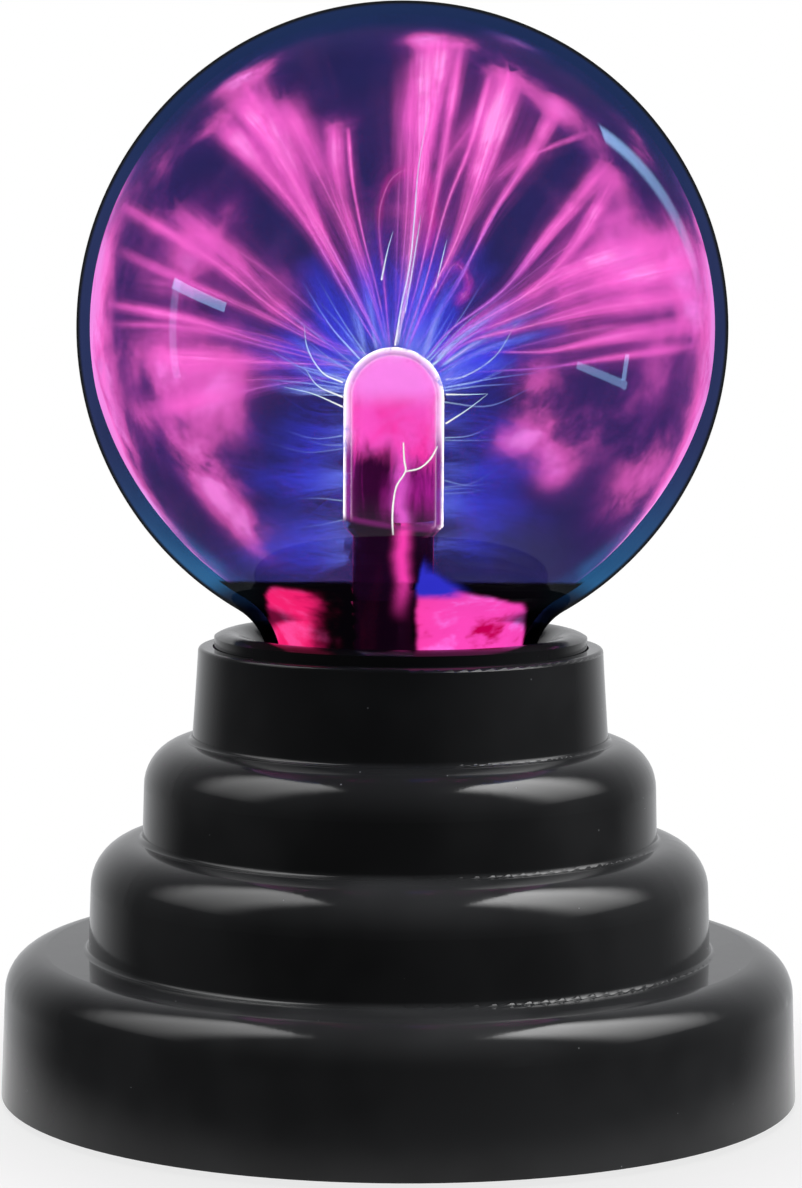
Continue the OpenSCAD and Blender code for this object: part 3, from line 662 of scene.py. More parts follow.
# Thin bright arcs near the finger: points (x, z as seen from the front, depth y)
ARCS = [
    [(5.4, -6.2, -1), (8.0, -5.6, -2), (11.5, -3.2, -3), (14.0, 0.8, -3)],
    [(5.4, -8.0, -2), (8.0, -8.0, -3), (10.6, -7.9, -3)],
    [(5.4, -11.6, -1), (8.0, -9.9, -2), (10.6, -7.9, -3)],
    [(-7.3, -6.6, -1), (-9.8, -5.4, -2), (-11.6, -2.6, -3), (-12.1, 0.4, -3)],
    [(-7.3, -8.4, -1), (-10.4, -7.0, -2), (-12.0, -4.8, -3)],
    [(-7.3, -9.6, -2), (-11.0, -8.0, -3), (-14.5, -7.2, -4)],
    [(-0.9, -2.0, -2), (-0.1, 3.0, -2), (0.9, 8.0, -1), (1.4, 13.5, 0), (1.9, 20.0, 0), (3.2, 27.5, 0)],
    [(0.3, 2.0, 0), (1.3, 8.0, 0), (2.2, 14.0, 0)],
    [(-2.6, 6.0, 2), (-1.9, 9.5, 2), (-1.2, 12.0, 2)],
    [(4.0, 5.0, 2), (4.7, 8.0, 2), (5.4, 11.0, 2)],
]


# Wider, softer pale blue feathers beside them
FEATHERS = [
    [(4.6, -4.6, 0), (9.5, -1.4, -1), (14.5, 1.0, -1), (19.0, 3.2, 0)],
    [(5.0, -5.4, 1), (10.0, -2.6, 2), (15.0, -1.0, 3), (20.5, 0.4, 4)],
    [(4.0, -3.8, 0), (8.0, -0.4, 1), (12.0, 2.4, 2), (15.5, 4.4, 3)],
    [(5.2, -6.6, 1), (9.5, -4.6, 2), (14.5, -3.8, 3)],
    [(-7.0, -4.8, 0), (-10.5, -3.2, 1), (-14.5, -0.6, 2)],
    [(-7.2, -5.8, 1), (-11.5, -5.2, 2), (-16.5, -3.0, 4)],
    [(-7.4, -7.4, 2), (-12.0, -7.6, 4), (-17.5, -6.6, 6)],
    [(-4.6, -3.0, 1), (-5.6, 1.0, 2), (-7.2, 5.5, 3)],
    [(-3.2, -2.6, 1), (-3.9, 2.5, 2), (-5.0, 7.0, 3)],
    [(2.6, -3.2, 1), (4.4, 1.8, 2), (6.2, 6.0, 3)],
    [(0.6, -2.6, 0), (1.9, 3.0, 1), (3.2, 9.0, 2)],
]


def make_feathers():
    feathers = Ribbons()
    for k, points in enumerate(FEATHERS):
        path = smooth_path([seen(*p) for p in points], 8)
        wide = gradient((0, 0.45), (0.5, 1.0), (1, 1.5))
        colour = gradient((0, lerp(BLUE, ICE, 0.65)), (0.5, lerp(BLUE, ICE, 0.35)), (1, BLUE))
        fade = gradient((0, 0.0), (0.08, 0.8), (0.6, 0.5), (1, 0.0))
        feathers.add(path, lambda t: wide(t) * MM, colour, fade, 3, k + 150.0, 0.4)
    glow_piece("plasma_feathers", feathers, "plasma_feather")


def make_arcs():
    arcs = Ribbons()
    for k, points in enumerate(ARCS):
        path = smooth_path([seen(*p) for p in points], 8)
        thin = gradient((0, 0.16), (0.5, 0.12), (1, 0.08))
        arcs.add(path, lambda t, w=thin: w(t) * MM, gradient((0, WHITE), (0.6, ICE), (1, ICE)),
            gradient((0, 1.5), (0.7, 0.9), (1, 0.2)), 2, k + 90.0, 0.3, 3)
    glow_piece("plasma_arcs", arcs, "plasma_arc", striped=False)


# Where the plasma spreads over the glass: x, z as seen from the front, side, spread in degrees, power
CLOUDS = [
    # along the left side
    (-40, 10, 1, 13, 0.9), (-40, 2, 1, 15, 1.1), (-40, -7, 1, 15, 1.1), (-37.5, -15, 1, 13, 0.9),
    (-33, -22.5, 1, 10, 0.8), (-26.5, -29.5, 1, 7, 0.6), (-31, 2, 1, 16, 0.3), (-30, -6, 1, 9, 0.40),
    (-37, 5, 1, 7, 0.6), (-37, -4, 1, 7, 0.6), (-34.5, -13, 1, 7, 0.4),
    # lower left
    (-28, -13, 1, 6, 0.4), (-25, -17.5, 1, 6, 0.75), (-22, -21.5, 1, 6, 0.9), (-19, -25.5, 1, 6, 0.8),
    (-22, -10, 1, 9, 0.5), (-27, -8, 1, 10, 0.35),
    # left and upper left
    (-24.5, 9, 1, 7, 0.8), (-22.5, -3.5, 1, 7, 0.5), (-21.5, 13, 1, 5, 0.3), (-30, 13.5, 1, 6, 0.25),
    (-15.5, 5, 1, 6, 0.4), (-19.5, 30.5, 1, 6, 1.1), (-22.2, 25, 1, 5, 0.9), (-17, 25, 1, 6, 0.6),
    (-10.5, 20, 1, 7, 0.45), (-29.5, 20, 1, 8, 0.35), (-8, 24.5, 1, 4, 0.4),
    # along the top
    (3, 34.8, 1, 4.5, 1), (6.3, 34.6, 1, 4.5, 0.9), (13, 30.8, 1, 5.5, 1), (18.8, 27, 1, 4.5, 0.8),
    (28.5, 23, 1, 5, 0.7), (23, 24, 1, 5, 0.3), (0.5, 14, 1, 9, 0.35), (13.5, 35, 1, 5, 0.4),
    # right
    (25.5, 19, 1, 5, 0.4), (27, 8, 1, 8, 1), (33.5, 9, 1, 8, 0.9), (19.5, 6.5, 1, 5, 0.6),
    (30, 13, 1, 8, 0.3), (26, 14, 1, 7, 0.25), (35.5, 1.5, 1, 6, 0.7), (31, -3, 1, 12, 0.35),
    (22, 1, 1, 6, 0.3), (16.5, -5, 1, 6, 0.3),
    # along the right side
    (40, 6, 1, 14, 1), (40, -4, 1, 15, 1), (38.5, -13, 1, 14, 0.8), (34, -22.5, 1, 11, 0.8),
    (29, -28, 1, 8, 0.45),
    # lower right
    (29.5, -18.5, 1, 9, 0.7), (16.5, -12.5, 1, 6, 0.85), (13.5, -13.5, 1, 4, 0.5), (19.5, -17, 1, 5, 0.7),
    (18, -7.5, 1, 5, 0.45), (24, -12, 1, 8, 0.3),
    # on the near side
    (-26, 12, -1, 7, 0.22), (27, 12, -1, 7, 0.25), (31, -6, -1, 7, 0.25), (-31, -12, -1, 7, 0.35),
]
# The glow away from every patch, and how much further the lining stands off the glass low down
FAINT_GLOW = 0.02
LOW_INSET = 0.9 * MM


def lining_material():
    """Pink glow where the plasma meets the glass, in feathery patches."""
    n = Nodes("plasma_on_glass")
    glow = n.value("glow")
    cloud = n.noise(85.0, 5.0, roughness=0.58, distortion=0.35)
    fine = n.noise(240.0, 4.0, distortion=0.3)
    dense = n.plus(cloud, n.times(glow, 0.07))
    feather = n.times(n.span(dense, 0.36, 0.68, 0.22, 1.10), n.span(fine, 0.25, 0.7, 0.7, 1.0))
    alpha = n.math("MINIMUM", n.times(glow, feather), 0.92)
    colour = n.mix(n.span(alpha, 0.03, 0.45), through_glass(0.30, 0.04, 0.42), PINK)
    colour = n.mix(n.span(alpha, 0.5, 0.9), colour, through_glass(1.0, 0.24, 0.80))
    return n.finish(n.glowing(colour, alpha))


def make_lining():
    low = CENTRE.z - 0.80 * GLOBE_R
    outline = [(r, z) for r, z in envelope_profile(LINING_INSET, GLOBE_LOW.z, 80) if z > low]
    profile = [(r - LOW_INSET * clamp((CENTRE.z - 0.2 * GLOBE_R - z) / (0.4 * GLOBE_R)), z)
        for r, z in outline]
    mesh = lathe("plasma_on_glass", profile, 144)
    layer = mesh.attributes.new("glow", "FLOAT", "POINT")
    patches = [((on_globe(x, z, side) - CENTRE).normalized(), spread, power)
        for x, z, side, spread, power in CLOUDS]
    values = []
    for v in mesh.vertices:
        d = (v.co - CENTRE).normalized()
        total = sum(power * math.exp(-(math.degrees(d.angle(way)) / spread) ** 2)
            for way, spread, power in patches)
        values.append(min(total + FAINT_GLOW, 1.25))
    layer.data.foreach_set("value", values)
    piece("plasma_on_glass", mesh, lining_material())


# The glow low in the neck: from x, to x in millimetres on the front half, and on the back half
NECK_FRONT = [(-16.3, -6.6), (1.8, 15.2)]
NECK_BACK = [(-12.0, -3.0), (6.0, 13.0)]
# Where the lining's black painted shade is thin in front of the stem
NECK_WINDOW = (-5.4, 1.5)
# How the upper edge of the black painted shade leans, so that it shows as a level line from the front
NECK_SLOPE = (CAMERA_AT.z - NECK_TOP) / -CAMERA_AT.y


def neck_material():
    """Hot pink glow on black around the inside of the neck, with ragged edges. The black is painted shade:
    an opaque dark lining where the neck is only in shadow.
    """
    n = Nodes("neck_glow")
    blotch = n.noise(230.0, 4.0, distortion=0.25, stretch=(0.7, 0.7, 1))
    glow = n.value("glow")
    ragged = n.plus(glow, n.times(n.minus(blotch, 0.5), 0.9))
    lit = n.times(n.span(ragged, 0.18, 0.74), n.span(glow, 0.02, 0.22))
    across = n.span(n.axis("X"), -12 * MM, 8 * MM)
    hot = n.mix(across, through_glass(0.95, 0.016, 0.17), through_glass(0.98, 0.065, 0.50))
    pale = n.mix(across, through_glass(1.0, 0.07, 0.33), through_glass(1.0, 0.20, 0.88))
    clouds = n.noise(230.0, 4.0, distortion=0.15, stretch=(0.6, 0.6, 1))
    colour = n.mix(n.span(clouds, 0.30, 0.46), through_glass(0.55, 0.0, 0.09), hot)
    colour = n.mix(n.span(clouds, 0.50, 0.68), colour, pale)
    blue = n.span(n.times(n.value("blue"), n.span(blotch, 0.3, 0.6, 0.7, 1.1)), 0.05, 0.85)
    colour = n.mix(n.span(n.plus(glow, n.times(blotch, 0.55)), 0.50, 1.15),
        through_glass(0.030, 0.0, 0.006), colour)
    # Near black where unlit, and opaque below the level line: painted shade.
    shown = n.mix(lit, through_glass(0.0015, 0.001, 0.002), colour)
    shown = n.mix(blue, shown, through_glass(0.03, 0.03, 0.58))
    alpha = n.math("MAXIMUM", n.math("MAXIMUM", n.times(lit, 0.97), n.value("dark")), blue)
    return n.finish(n.glowing(shown, alpha, (0.002, 0.002, 0.002), 0.8))


def within(value, spans, soft):
    """1 inside one of the spans, falling to 0 over a soft edge."""
    return max(clamp(0.5 + min(value - a, b - value) / soft) for a, b in spans)


def neck_values(place):
    """How lit, how dark with painted shade, and how blue the neck's lining is at a place on it."""
    x, y, z = place / MM
    level = z - NECK_TOP / MM + NECK_SLOPE * y
    # Black below the level line: painted shade.
    dark = clamp(0.5 - level / 0.3)
    lit = clamp(0.5 - (level + 0.7 + 0.22 * max(0.0, x - 6.0)) / 1.6)
    if y >= 0:
        return 0.7 * lit * within(x, NECK_BACK, 1.6), dark, 0.0
    fading = 1.0 if x > 0 else clamp((-7.0 - x) / 5.5, 0.22)
    window = NECK_WINDOW[0] < x < NECK_WINDOW[1]
    tongue = min(5.0 * (x - 1.5), 4.9 - 0.85 * (x - 2.7)) - level
    blue = clamp(tongue / 3.6) ** 1.5 * clamp((level + 2.4) / 1.5)
    return lit * within(x, NECK_FRONT, 1.6) * fading, (0.35 if window else 1.0) * dark, blue


def make_neck_glow():
    """The lining of the neck: black painted shade below a level line, with lit patches, and one blue tongue
    over it.
    """
    profile = [(r, z) for r, z in envelope_profile(LINING_INSET, 52 * MM, 260) if z < NECK_TOP + 8 * MM]
    low, high = profile[0], profile[1]
    straight = [(low[0], low[1] + (high[1] - low[1]) * i / 16) for i in range(16)]
    mesh = lathe("neck_glow", straight + profile[1:], 200)
    layers = dict(zip(("glow", "dark", "blue"), zip(*(neck_values(v.co) for v in mesh.vertices))))
    for name, values in layers.items():
        layer = mesh.attributes.new(name, "FLOAT", "POINT")
        layer.data.foreach_set("value", values)
    piece("neck_glow", mesh, neck_material())


# ---- electrode ----

# The lower end of the lit finger, and the place of the streak down the stem
FINGER_FOOT = FINGER_TOP - 22.5 * MM
STREAK_X = FINGER_X + 1.0 * MM


def streak_down(n, low, high):
    """A soft upright streak on the front of the stem, and one on its back."""
    sway = n.times(n.minus(n.noise(160.0, 2.0, stretch=(0.2, 0.2, 1)), 0.5), 3 * MM)
    x = n.math("ABSOLUTE", n.minus(n.plus(n.axis("X"), sway), STREAK_X))
    height = n.axis("Z")
    foot = n.span(height, low, low + 5 * MM)
    ends = n.times(foot, n.span(height, high + 1 * MM, high - 1 * MM))
    return n.times(n.math("POWER", n.span(x, 2.3 * MM, 0.0), 2.4), ends)


def from_dome(n):
    """How far a point is from the finger's axis, or from the dome's middle above it."""
    above = n.math("MAXIMUM", n.minus(n.axis("Z"), FINGER_TOP - FINGER_R), 0.0)
    return n.length(n.minus(n.axis("X"), FINGER_X), n.axis("Y"), above)


def finger_material():
    """The electrode's glass: the discharge hugs the finger's edge in white, and the stem below is dark,
    with thin pink painted light along its edges.
    """
    n = Nodes("electrode_glass_glow")
    facing = n.add("LayerWeight", {"Blend": 0.5}).outputs["Facing"]
    height = n.axis("Z")
    slant = n.times(n.minus(n.axis("X"), FINGER_X), 0.13)
    lit = n.span(n.plus(height, slant), FINGER_FOOT + 0.2 * MM, FINGER_FOOT + 1.4 * MM)
    upper = n.span(height, FINGER_TOP - 14 * MM, FINGER_TOP - 9 * MM)
    cloud = n.noise(260.0, 4.0, distortion=0.6)
    outer = n.span(from_dome(n), FINGER_R - 0.6 * MM, FINGER_R - 0.3 * MM)
    rim = n.times(n.span(facing, 0.60, 0.82), n.span(outer, 0.0, 1.0, 0.35, 1.0))
    wall = n.span(n.axis("Z", n.add("NewGeometry").outputs["Normal"]), -0.55, -0.15)
    rim = n.times(rim, wall)
    inner = n.times(n.times(n.span(facing, 0.12, 0.72), outer), wall)
    pale = n.mix(n.span(cloud, 0.35, 0.65), PINK, PALE_PINK)
    pale = n.mix(n.span(facing, 0.42, 0.66), pale, through_glass(1.1, 0.72, 1.05))
    soft = n.mix(upper, through_glass(0.34, 0.02, 0.27), pale)
    colour = n.mix(rim, soft, through_glass(1.0, 0.90, 1.0, 1.5))
    streak = streak_down(n, 59.4 * MM, FINGER_FOOT + 1 * MM)
    dark = n.mix(streak, through_glass(0.006, 0.0005, 0.006), through_glass(0.9, 0.05, 0.42))
    # Thin pink lines along the dark stem's two edges: painted light.
    edges = n.times(n.span(facing, 0.80, 0.93), n.span(cloud, 0.35, 0.6, 0.25, 1.0))
    dark = n.mix(edges, dark, through_glass(0.26, 0.008, 0.09))
    colour = n.mix(lit, dark, colour)
    veil = n.times(n.math("POWER", inner, 1.4), n.span(upper, 0.0, 1.0, 0.55, 0.92))
    edge_alpha = n.math("MAXIMUM", n.times(rim, 0.96), veil)
    alpha = n.add("Mix", {0: lit, 2: 0.95, 3: edge_alpha}).outputs[0]
    return n.finish(n.glowing(colour, alpha, (0.002, 0.001, 0.002), 0.2, 0.1))


def core_material():
    """The filling: bright pink at the top, with a paler painted highlight at the very top, dying away to
    dark maroon with lit streaks.
    """
    n = Nodes("electrode_filling_glow")
    height = n.axis("Z")
    streaks = n.noise(330.0, 4.0, distortion=0.7, stretch=(1, 1, 0.25))
    cloud = n.noise(300.0, 3.0, distortion=0.5)
    slope = n.times(n.minus(n.axis("X"), FINGER_X), 0.25)
    wander = n.times(n.minus(streaks, 0.5), 9 * MM)
    ragged = n.plus(height, n.plus(slope, wander))
    top = n.span(ragged, FINGER_TOP - 15.5 * MM, FINGER_TOP - 11.5 * MM)
    side = n.span(n.axis("X"), FINGER_X - 3 * MM, FINGER_X + 4 * MM, 0.0, 0.22)
    glow = n.span(n.plus(streaks, side), 0.48, 0.80)
    low = n.mix(glow, through_glass(0.030, 0.001, 0.024), through_glass(0.42, 0.015, 0.30))
    low = n.mix(n.span(height, FINGER_FOOT + 6 * MM, FINGER_FOOT), low, through_glass(0.012, 0.001, 0.012))
    streak = streak_down(n, FINGER_FOOT - 8 * MM, FINGER_TOP - 10 * MM)
    low = n.mix(streak, low, through_glass(0.75, 0.10, 0.60))
    high = n.mix(n.span(cloud, 0.30, 0.65), through_glass(0.95, 0.040, 0.40),
        through_glass(1.0, 0.09, 0.58))
    # The paler cap at the very top is a painted highlight, standing in for the dome's pale reflection.
    cap = n.span(height, FINGER_TOP - 8 * MM, FINGER_TOP - 4.5 * MM)
    high = n.mix(cap, high, through_glass(1.0, 0.24, 0.86))
    return n.finish(n.glowing(n.mix(top, low, high), 1.0, (0.004, 0.001, 0.003), 0.7, 0.1))


# The branching arc on the finger: along from its axis, and height, in millimetres
FINGER_ARC = [
    [(1.2, 81.9), (1.3, 79.8), (1.45, 78.35), (0.4, 76.6), (0.0, 74.5), (-0.1, 72.4), (0.0, 70.6)],
    [(1.45, 78.35), (3.2, 78.75), (4.5, 79.8), (5.4, 81.3)],
]
# The arc comes once in front and once behind: turns in degrees
ARC_TURNS = (0, 180)


def make_finger_arcs():
    """White arcs crawling over the finger, on its front and further round."""
    arcs = Ribbons()
    r = FINGER_R + 0.15 * MM
    for turn in ARC_TURNS:
        spin = Matrix.Rotation(math.radians(turn), 4, "Z")
        for k, points in enumerate(FINGER_ARC):
            around = [Vector((x * MM, -math.sqrt(r * r - (x * MM) ** 2), 0)) for x, z in points]
            path = [spin @ p + Vector((FINGER_X, 0, z * MM)) for p, (x, z) in zip(around, points)]
            arcs.add(smooth_path(path, 6), lambda t: 0.17 * MM, lambda t: WHITE,
                gradient((0, 0.6), (0.2, 1.3), (0.8, 1.3), (1, 0.5)), 2, turn + k, 0.3, 3)
    glow_piece("finger_arcs", arcs, "finger_arc", striped=False)


# ---- studio and camera ----

def make_world():
    """White backdrop. What the surfaces reflect is bright behind and beside, and dark towards the front."""
    world = bpy.data.worlds.new("studio")
    bpy.context.scene.world = world
    n = Nodes(world, "OutputWorld")
    backdrop = n.add("Background", {"Color": (1, 1, 1)})
    behind = n.axis("Y", n.add("TexCoord").outputs["Generated"])
    lighting = n.add("Background", {"Color": (0.97, 0.98, 1.0),
        "Strength": n.span(behind, 0.30, 0.95, WORLD_FRONT, WORLD_BACK)})
    seen_straight = n.add("LightPath").outputs["Is Camera Ray"]
    n.finish(n.add("MixShader", {0: seen_straight, 1: lighting.outputs[0], 2: backdrop.outputs[0]}))


def softbox(name, place, target, size, radiance, lights_only, colour=(1, 1, 1), fade=False, up=(0, 0, 1)):
    """A rectangular light of a given brightness, its height along up. It lights only the collection
    lights_only, and fade dims it towards its lower edge and its sides."""
    data = bpy.data.lights.new(name, "AREA")
    data.shape = "RECTANGLE"
    data.size, data.size_y = size
    data.energy = radiance * math.pi * size[0] * size[1]
    data.color = colour
    light = bpy.data.objects.new(name, data)
    bpy.context.scene.collection.objects.link(light)
    away = (Vector(place) - Vector(target)).normalized()
    across = Vector(up).cross(away).normalized()
    turned = Matrix((across, away.cross(across), away)).transposed().to_4x4()
    light.matrix_world = Matrix.Translation(place) @ turned
    light.visible_camera = False
    light.light_linking.receiver_collection = lights_only
    if fade:
        fade_down(data)


def fade_down(data):
    """Makes a light dimmer towards its lower edge and its two sides."""
    n = Nodes(data, "OutputLight")
    place = n.add("NewGeometry").outputs["Parametric"]
    upward = n.add("MapRange", {"Value": n.axis("Y", place), "From Max": 0.9, "To Min": 0.06})
    inward = n.span(n.math("PINGPONG", n.axis("X", place), 0.5), 0.0, 0.35)
    n.finish(n.add("Emission", {"Color": (1, 1, 1), "Strength": n.times(upward.outputs["Result"], inward)}))


def group(name, objects):
    """A collection that lights can be limited to."""
    collection = bpy.data.collections.new(name)
    for obj in objects:
        collection.objects.link(obj)
    return collection


def make_floor():
    """A pale floor under the base that fades out into the backdrop."""
    mesh = bpy.data.meshes.new("studio_floor")
    bm = bmesh.new()
    bmesh.ops.create_grid(bm, x_segments=8, y_segments=8, size=0.5)
    bm.to_mesh(mesh)
    bm.free()
    floor = bpy.data.objects.new("studio_floor", mesh)
    bpy.context.scene.collection.objects.link(floor)
    n = Nodes("pale_floor")
    out = n.length(n.axis("X"), n.axis("Y"))
    above = n.minus(1.0, n.add("NewGeometry").outputs["Backfacing"])
    shade = n.mix(n.span(n.noise(8.0, 3.0), 0.3, 0.7), (0.40, 0.40, 0.40), (0.42, 0.42, 0.42))
    mesh.materials.append(n.finish(n.add("BsdfPrincipled", {"Base Color": shade, "Roughness": 0.9,
        "Specular IOR Level": 0.0, "Emission Color": (1, 1, 1), "Emission Strength": 0.76,
        "Alpha": n.times(above, n.span(out, 0.050, 0.092, 0.9, 0.0))})))
    return floor


def make_camera():
    data = bpy.data.cameras.new("camera")
    data.sensor_width = 36
    data.lens = 116.7
    data.clip_start = 0.01
    camera = bpy.data.objects.new("camera", data)
    bpy.context.scene.collection.objects.link(camera)
    tilt = Matrix.Rotation(math.radians(84.62), 4, "X")
    roll = Matrix.Rotation(math.radians(0.3), 4, "Z")
    camera.matrix_world = Matrix.Translation(CAMERA_AT) @ tilt @ roll
    bpy.context.scene.camera = camera


def paint(node, material):
    """Gives a part of the CAD model one material all over."""
    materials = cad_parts[node].data.materials
    if not materials:
        materials.append(material)
    for i in range(len(materials)):
        materials[i] = material


def board_material():
    """Green solder mask over copper tracks, with tinned pads."""
    n = Nodes("printed_circuit_board")
    cells = n.add("TexVoronoi", {"Vector": n.place(), "Scale": 330.0}, distance="CHEBYCHEV")
    track = n.span(cells.outputs["Distance"], 0.34, 0.40)
    base = n.mix(track, (0.010, 0.075, 0.025), (0.022, 0.13, 0.045))
    weave = n.noise(1500.0, 2.0)
    base = n.mix(n.span(weave, 0.4, 0.7, 0.0, 0.35), base, (0.006, 0.045, 0.016))
    shader = n.add("BsdfPrincipled", {"Base Color": base, "Roughness": n.span(weave, 0.3, 0.7, 0.28, 0.42),
        "Normal": n.bump(track, 0.3, 0.0001)})
    return n.finish(shader)


def winding_material():
    """Enamelled copper wire wound in close turns, darker in the grooves between them: painted shade."""
    n = Nodes("copper_winding")
    turns = n.add("TexWave", {"Vector": n.place(), "Scale": 620.0, "Distortion": 0.6, "Detail": 1.0},
        bands_direction="Z").outputs["Fac"]
    # Darker between the turns: painted shade in the grooves.
    base = n.mix(n.span(turns, 0.1, 0.7), (0.10, 0.022, 0.008), (0.62, 0.21, 0.07))
    shader = n.add("BsdfPrincipled", {"Base Color": base, "Metallic": 0.7,
        "Roughness": n.span(n.noise(700.0), 0.3, 0.7, 0.22, 0.4), "Normal": n.bump(turns, 0.7, 0.0002)})
    return n.finish(shader)


def capacitor_material():
    """A printed blue sleeve, and the bare aluminium of the can's end."""
    n = Nodes("capacitor_sleeve")
    end = n.span(n.axis("Z", n.add("NewGeometry").outputs["True Normal"]), 0.85, 0.95)
    wear = n.noise(500.0, 3.0)
    sleeve = n.mix(n.span(wear, 0.35, 0.7), (0.010, 0.035, 0.16), (0.016, 0.055, 0.24))
    base = n.mix(end, sleeve, (0.55, 0.56, 0.58))
    shader = n.add("BsdfPrincipled", {"Base Color": base, "Metallic": end,
        "Roughness": n.span(wear, 0.3, 0.7, 0.25, 0.4)})
    return n.finish(shader)


def resistor_material():
    """Tan lacquer with coloured bands."""
    n = Nodes("resistor_lacquer")
    wave = n.add("TexWave", {"Vector": n.place(), "Scale": 190.0, "Distortion": 0.0}, bands_direction="X")
    shade = n.mix(n.span(n.noise(900.0), 0.3, 0.7), (0.50, 0.33, 0.17), (0.62, 0.43, 0.24))
    which = n.ramp(n.span(n.axis("X"), -0.02, 0.02), (0.0, (0.30, 0.02, 0.01)), (0.5, (0.10, 0.03, 0.01)),
        (1.0, (0.55, 0.16, 0.01)))
    base = n.mix(n.span(wave.outputs["Fac"], 0.80, 0.9), shade, which)
    return n.finish(n.add("BsdfPrincipled", {"Base Color": base, "Roughness": 0.35,
        "Normal": n.bump(n.noise(900.0), 0.1, 0.0001)}))


def stem_glass_material():
    """Clear, slightly milky lamp glass."""
    n = Nodes("stem_glass")
    haze = n.span(n.noise(160.0, 4.0), 0.35, 0.7, 0.22, 0.42)
    tone = n.mix(n.span(n.noise(90.0, 3.0), 0.3, 0.7), (0.55, 0.62, 0.66), (0.70, 0.76, 0.78))
    return n.finish(n.add("BsdfPrincipled", {"Base Color": tone, "Roughness": 0.08, "Alpha": haze}))


# Moulded parts: material, colour, roughness, grain, grain depth, specular level and dust
MOULDINGS = {
    "neck_ring": ("gloss_black_ring", (0.0110, 0.0113, 0.0120), 0.16, 2600.0, 0.015, 0.30, 0.4),
    "neck_gasket": ("gasket_rubber", (0.015, 0.015, 0.015), 0.75, 5000.0, 0.2, 0.3),
    "neck_bond": ("silicone_bond", (0.42, 0.43, 0.42), 0.45, 800.0, 0.3, 0.4),
    "bottom_cover": ("textured_black", (0.014, 0.0145, 0.015), 0.5, 3500.0, 0.5, 0.4, 0.5),
    "rubber_feet": ("foot_rubber", (0.02, 0.02, 0.02), 0.8, 4000.0, 0.4, 0.3, 0.8),
    "switch_knob": ("knob_plastic", (0.016, 0.016, 0.017), 0.42, 6000.0, 0.3, 0.4, 0.3),
    "power_jack": ("jack_plastic", (0.010, 0.010, 0.011), 0.3, 6000.0, 0.1, 0.4),
    "transformer_core": ("ferrite", (0.028, 0.028, 0.031), 0.6, 1800.0, 0.4, 0.5, 0.3),
    "transformer_bobbin": ("bobbin_nylon", (0.36, 0.34, 0.28), 0.4, 1500.0, 0.1),
    "drive_transistor": ("transistor_package", (0.014, 0.014, 0.015), 0.45, 3000.0, 0.2, 0.4),
    "timer_chip": ("chip_package", (0.014, 0.014, 0.015), 0.45, 3000.0, 0.2, 0.4),
    "film_capacitor": ("brown_film_dip", (0.24, 0.055, 0.015), 0.22, 700.0, 0.15),
    "stem_plug": ("lamp_cement", (0.55, 0.52, 0.46), 0.85, 900.0, 0.6, 0.2),
    "high_voltage_lead": ("white_insulation", (0.62, 0.62, 0.60), 0.38, 900.0, 0.1),
    "supply_wire_black": ("black_insulation", (0.012, 0.012, 0.012), 0.4, 900.0, 0.1),
    "supply_wire_red": ("red_insulation", (0.42, 0.012, 0.010), 0.38, 900.0, 0.1),
    "switched_wire": ("red_insulation_switched", (0.42, 0.012, 0.010), 0.38, 900.0, 0.1),
}

# Metals: colour, roughness, how the scratches are stretched, and the parts made of each
METALS = {
    "zinc_plated_steel": ((0.62, 0.63, 0.64), 0.30, (1, 1, 6),
        ("cover_screws", "board_screws", "heat_sink_screw", "switch_screws", "switch_housing")),
    "plated_pin": ((0.80, 0.79, 0.75), 0.18, (8, 1, 8), ("jack_pin",)),
    "extruded_aluminium": ((0.72, 0.73, 0.74), 0.35, (1, 1, 20), ("heat_sink",)),
    "tinned_lead": ((0.72, 0.72, 0.70), 0.28, (1, 1, 5), ("transformer_pins", "transistor_leads",
        "chip_leads", "resistor_leads", "jack_terminals", "switch_terminals")),
    "brass": ((0.72, 0.50, 0.20), 0.25, (1, 1, 5), ("contact_rod", "switch_wiper")),
}


def paint_parts():
    """Gives every part of the CAD model its own material."""
    paint("base_shell", shell_plastic("gloss_black_shell", 0.5))
    for node, looks in MOULDINGS.items():
        paint(node, moulded(*looks))
    for name, (colour, roughness, stretch, nodes) in METALS.items():
        material = metal(name, colour, roughness, stretch)
        for node in nodes:
            paint(node, material)
    paint("circuit_board", board_material())
    paint("primary_winding", winding_material())
    paint("secondary_winding", winding_material())
    paint("filter_capacitors", capacitor_material())
    paint("resistors", resistor_material())
    paint("stem_flare", stem_glass_material())
    paint("exhaust_tip", stem_glass_material())
    paint("electrode_tube", finger_material())
    paint("electrode_core", core_material())


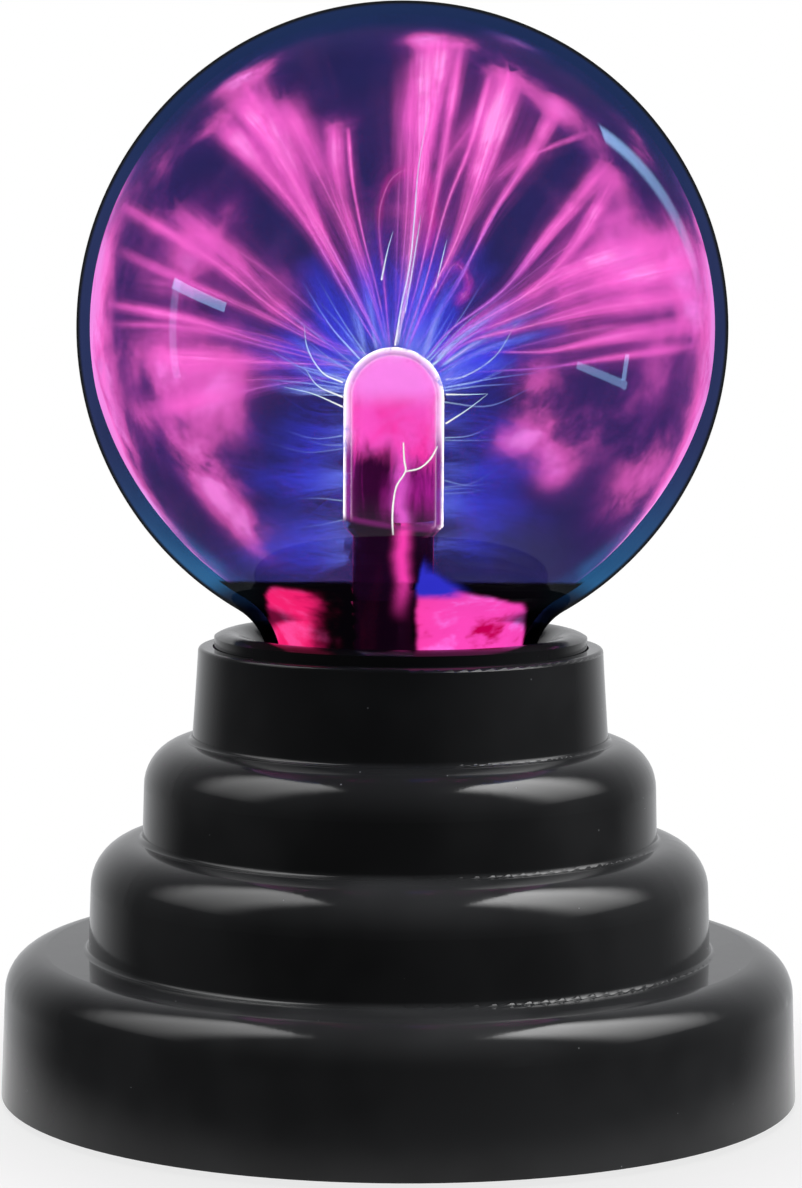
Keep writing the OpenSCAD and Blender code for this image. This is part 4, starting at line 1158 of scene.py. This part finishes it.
def light_base(rings):
    """Two tall softboxes at the sides, brighter high up, that show as long highlights on the shoulders."""
    shells = [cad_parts[node] for node in ("base_shell", "neck_ring", "neck_gasket")]
    black_parts = group("black_parts", shells + rings)
    softbox("side_left", (-0.44, -0.03, 0.45), (0, 0, 0.04), (0.60, 0.60), 7.0, black_parts, fade=True)
    softbox("side_right", (0.44, -0.03, 0.45), (0, 0, 0.04), (0.60, 0.60), 14.0, black_parts, fade=True)


# Window lights: the way to them from the globe, size, brightness, and which way their height runs
WINDOWS = {
    "window_left": ((-0.960, -0.28, 0.16), (0.26, 0.030), 18.0, (0, -0.20, 1)),
    "window_left_post": ((-0.993, -0.11, 0.0), (0.035, 0.26), 6.0, (0, 0, 1)),
    "window_right": ((0.92, -0.29, -0.20), (0.24, 0.022), 13.0, (0, 0.20, 1)),
    "window_right_post": ((0.985, -0.14, -0.16), (0.020, 0.07), 18.0, (0, 0, 1)),
}
WINDOW_DISTANCE = 0.6
SKY = (0.36, 0.66, 1.0)


def light_globe(globe):
    """Narrow lights that show as bluish window edges on the globe."""
    glass = group("glass_parts", [globe])
    low = CENTRE + Vector((0.80, 0.586, 0.08)) * WINDOW_DISTANCE
    high = CENTRE + Vector((0.667, 0.36, 0.65)) * WINDOW_DISTANCE
    size = (0.085, (high - low).length)
    softbox("window_high", (low + high) / 2, CENTRE, size, 30.0, glass, SKY, True, high - low)
    for name, (way, size, radiance, up) in WINDOWS.items():
        softbox(name, CENTRE + Vector(way) * WINDOW_DISTANCE, CENTRE, size, radiance, glass, SKY, up=up)


make_camera()
make_world()
floor = make_floor()
softbox("overhead", (0, 0.15, 0.9), (0, 0, 0), (0.7, 0.7), 1.4, group("floor_parts", [floor]))
paint_parts()
make_globe()
make_lining()
make_root_haze()
make_streamers()
make_filaments()
make_feathers()
make_arcs()
make_neck_glow()
make_finger_arcs()
light_base(make_corner_fillets())
light_globe(bpy.data.objects["glass_globe"])

scene = bpy.context.scene
scene.view_settings.view_transform = "Standard"
scene.cycles.transparent_max_bounces = 96
scene.cycles.max_bounces = 8
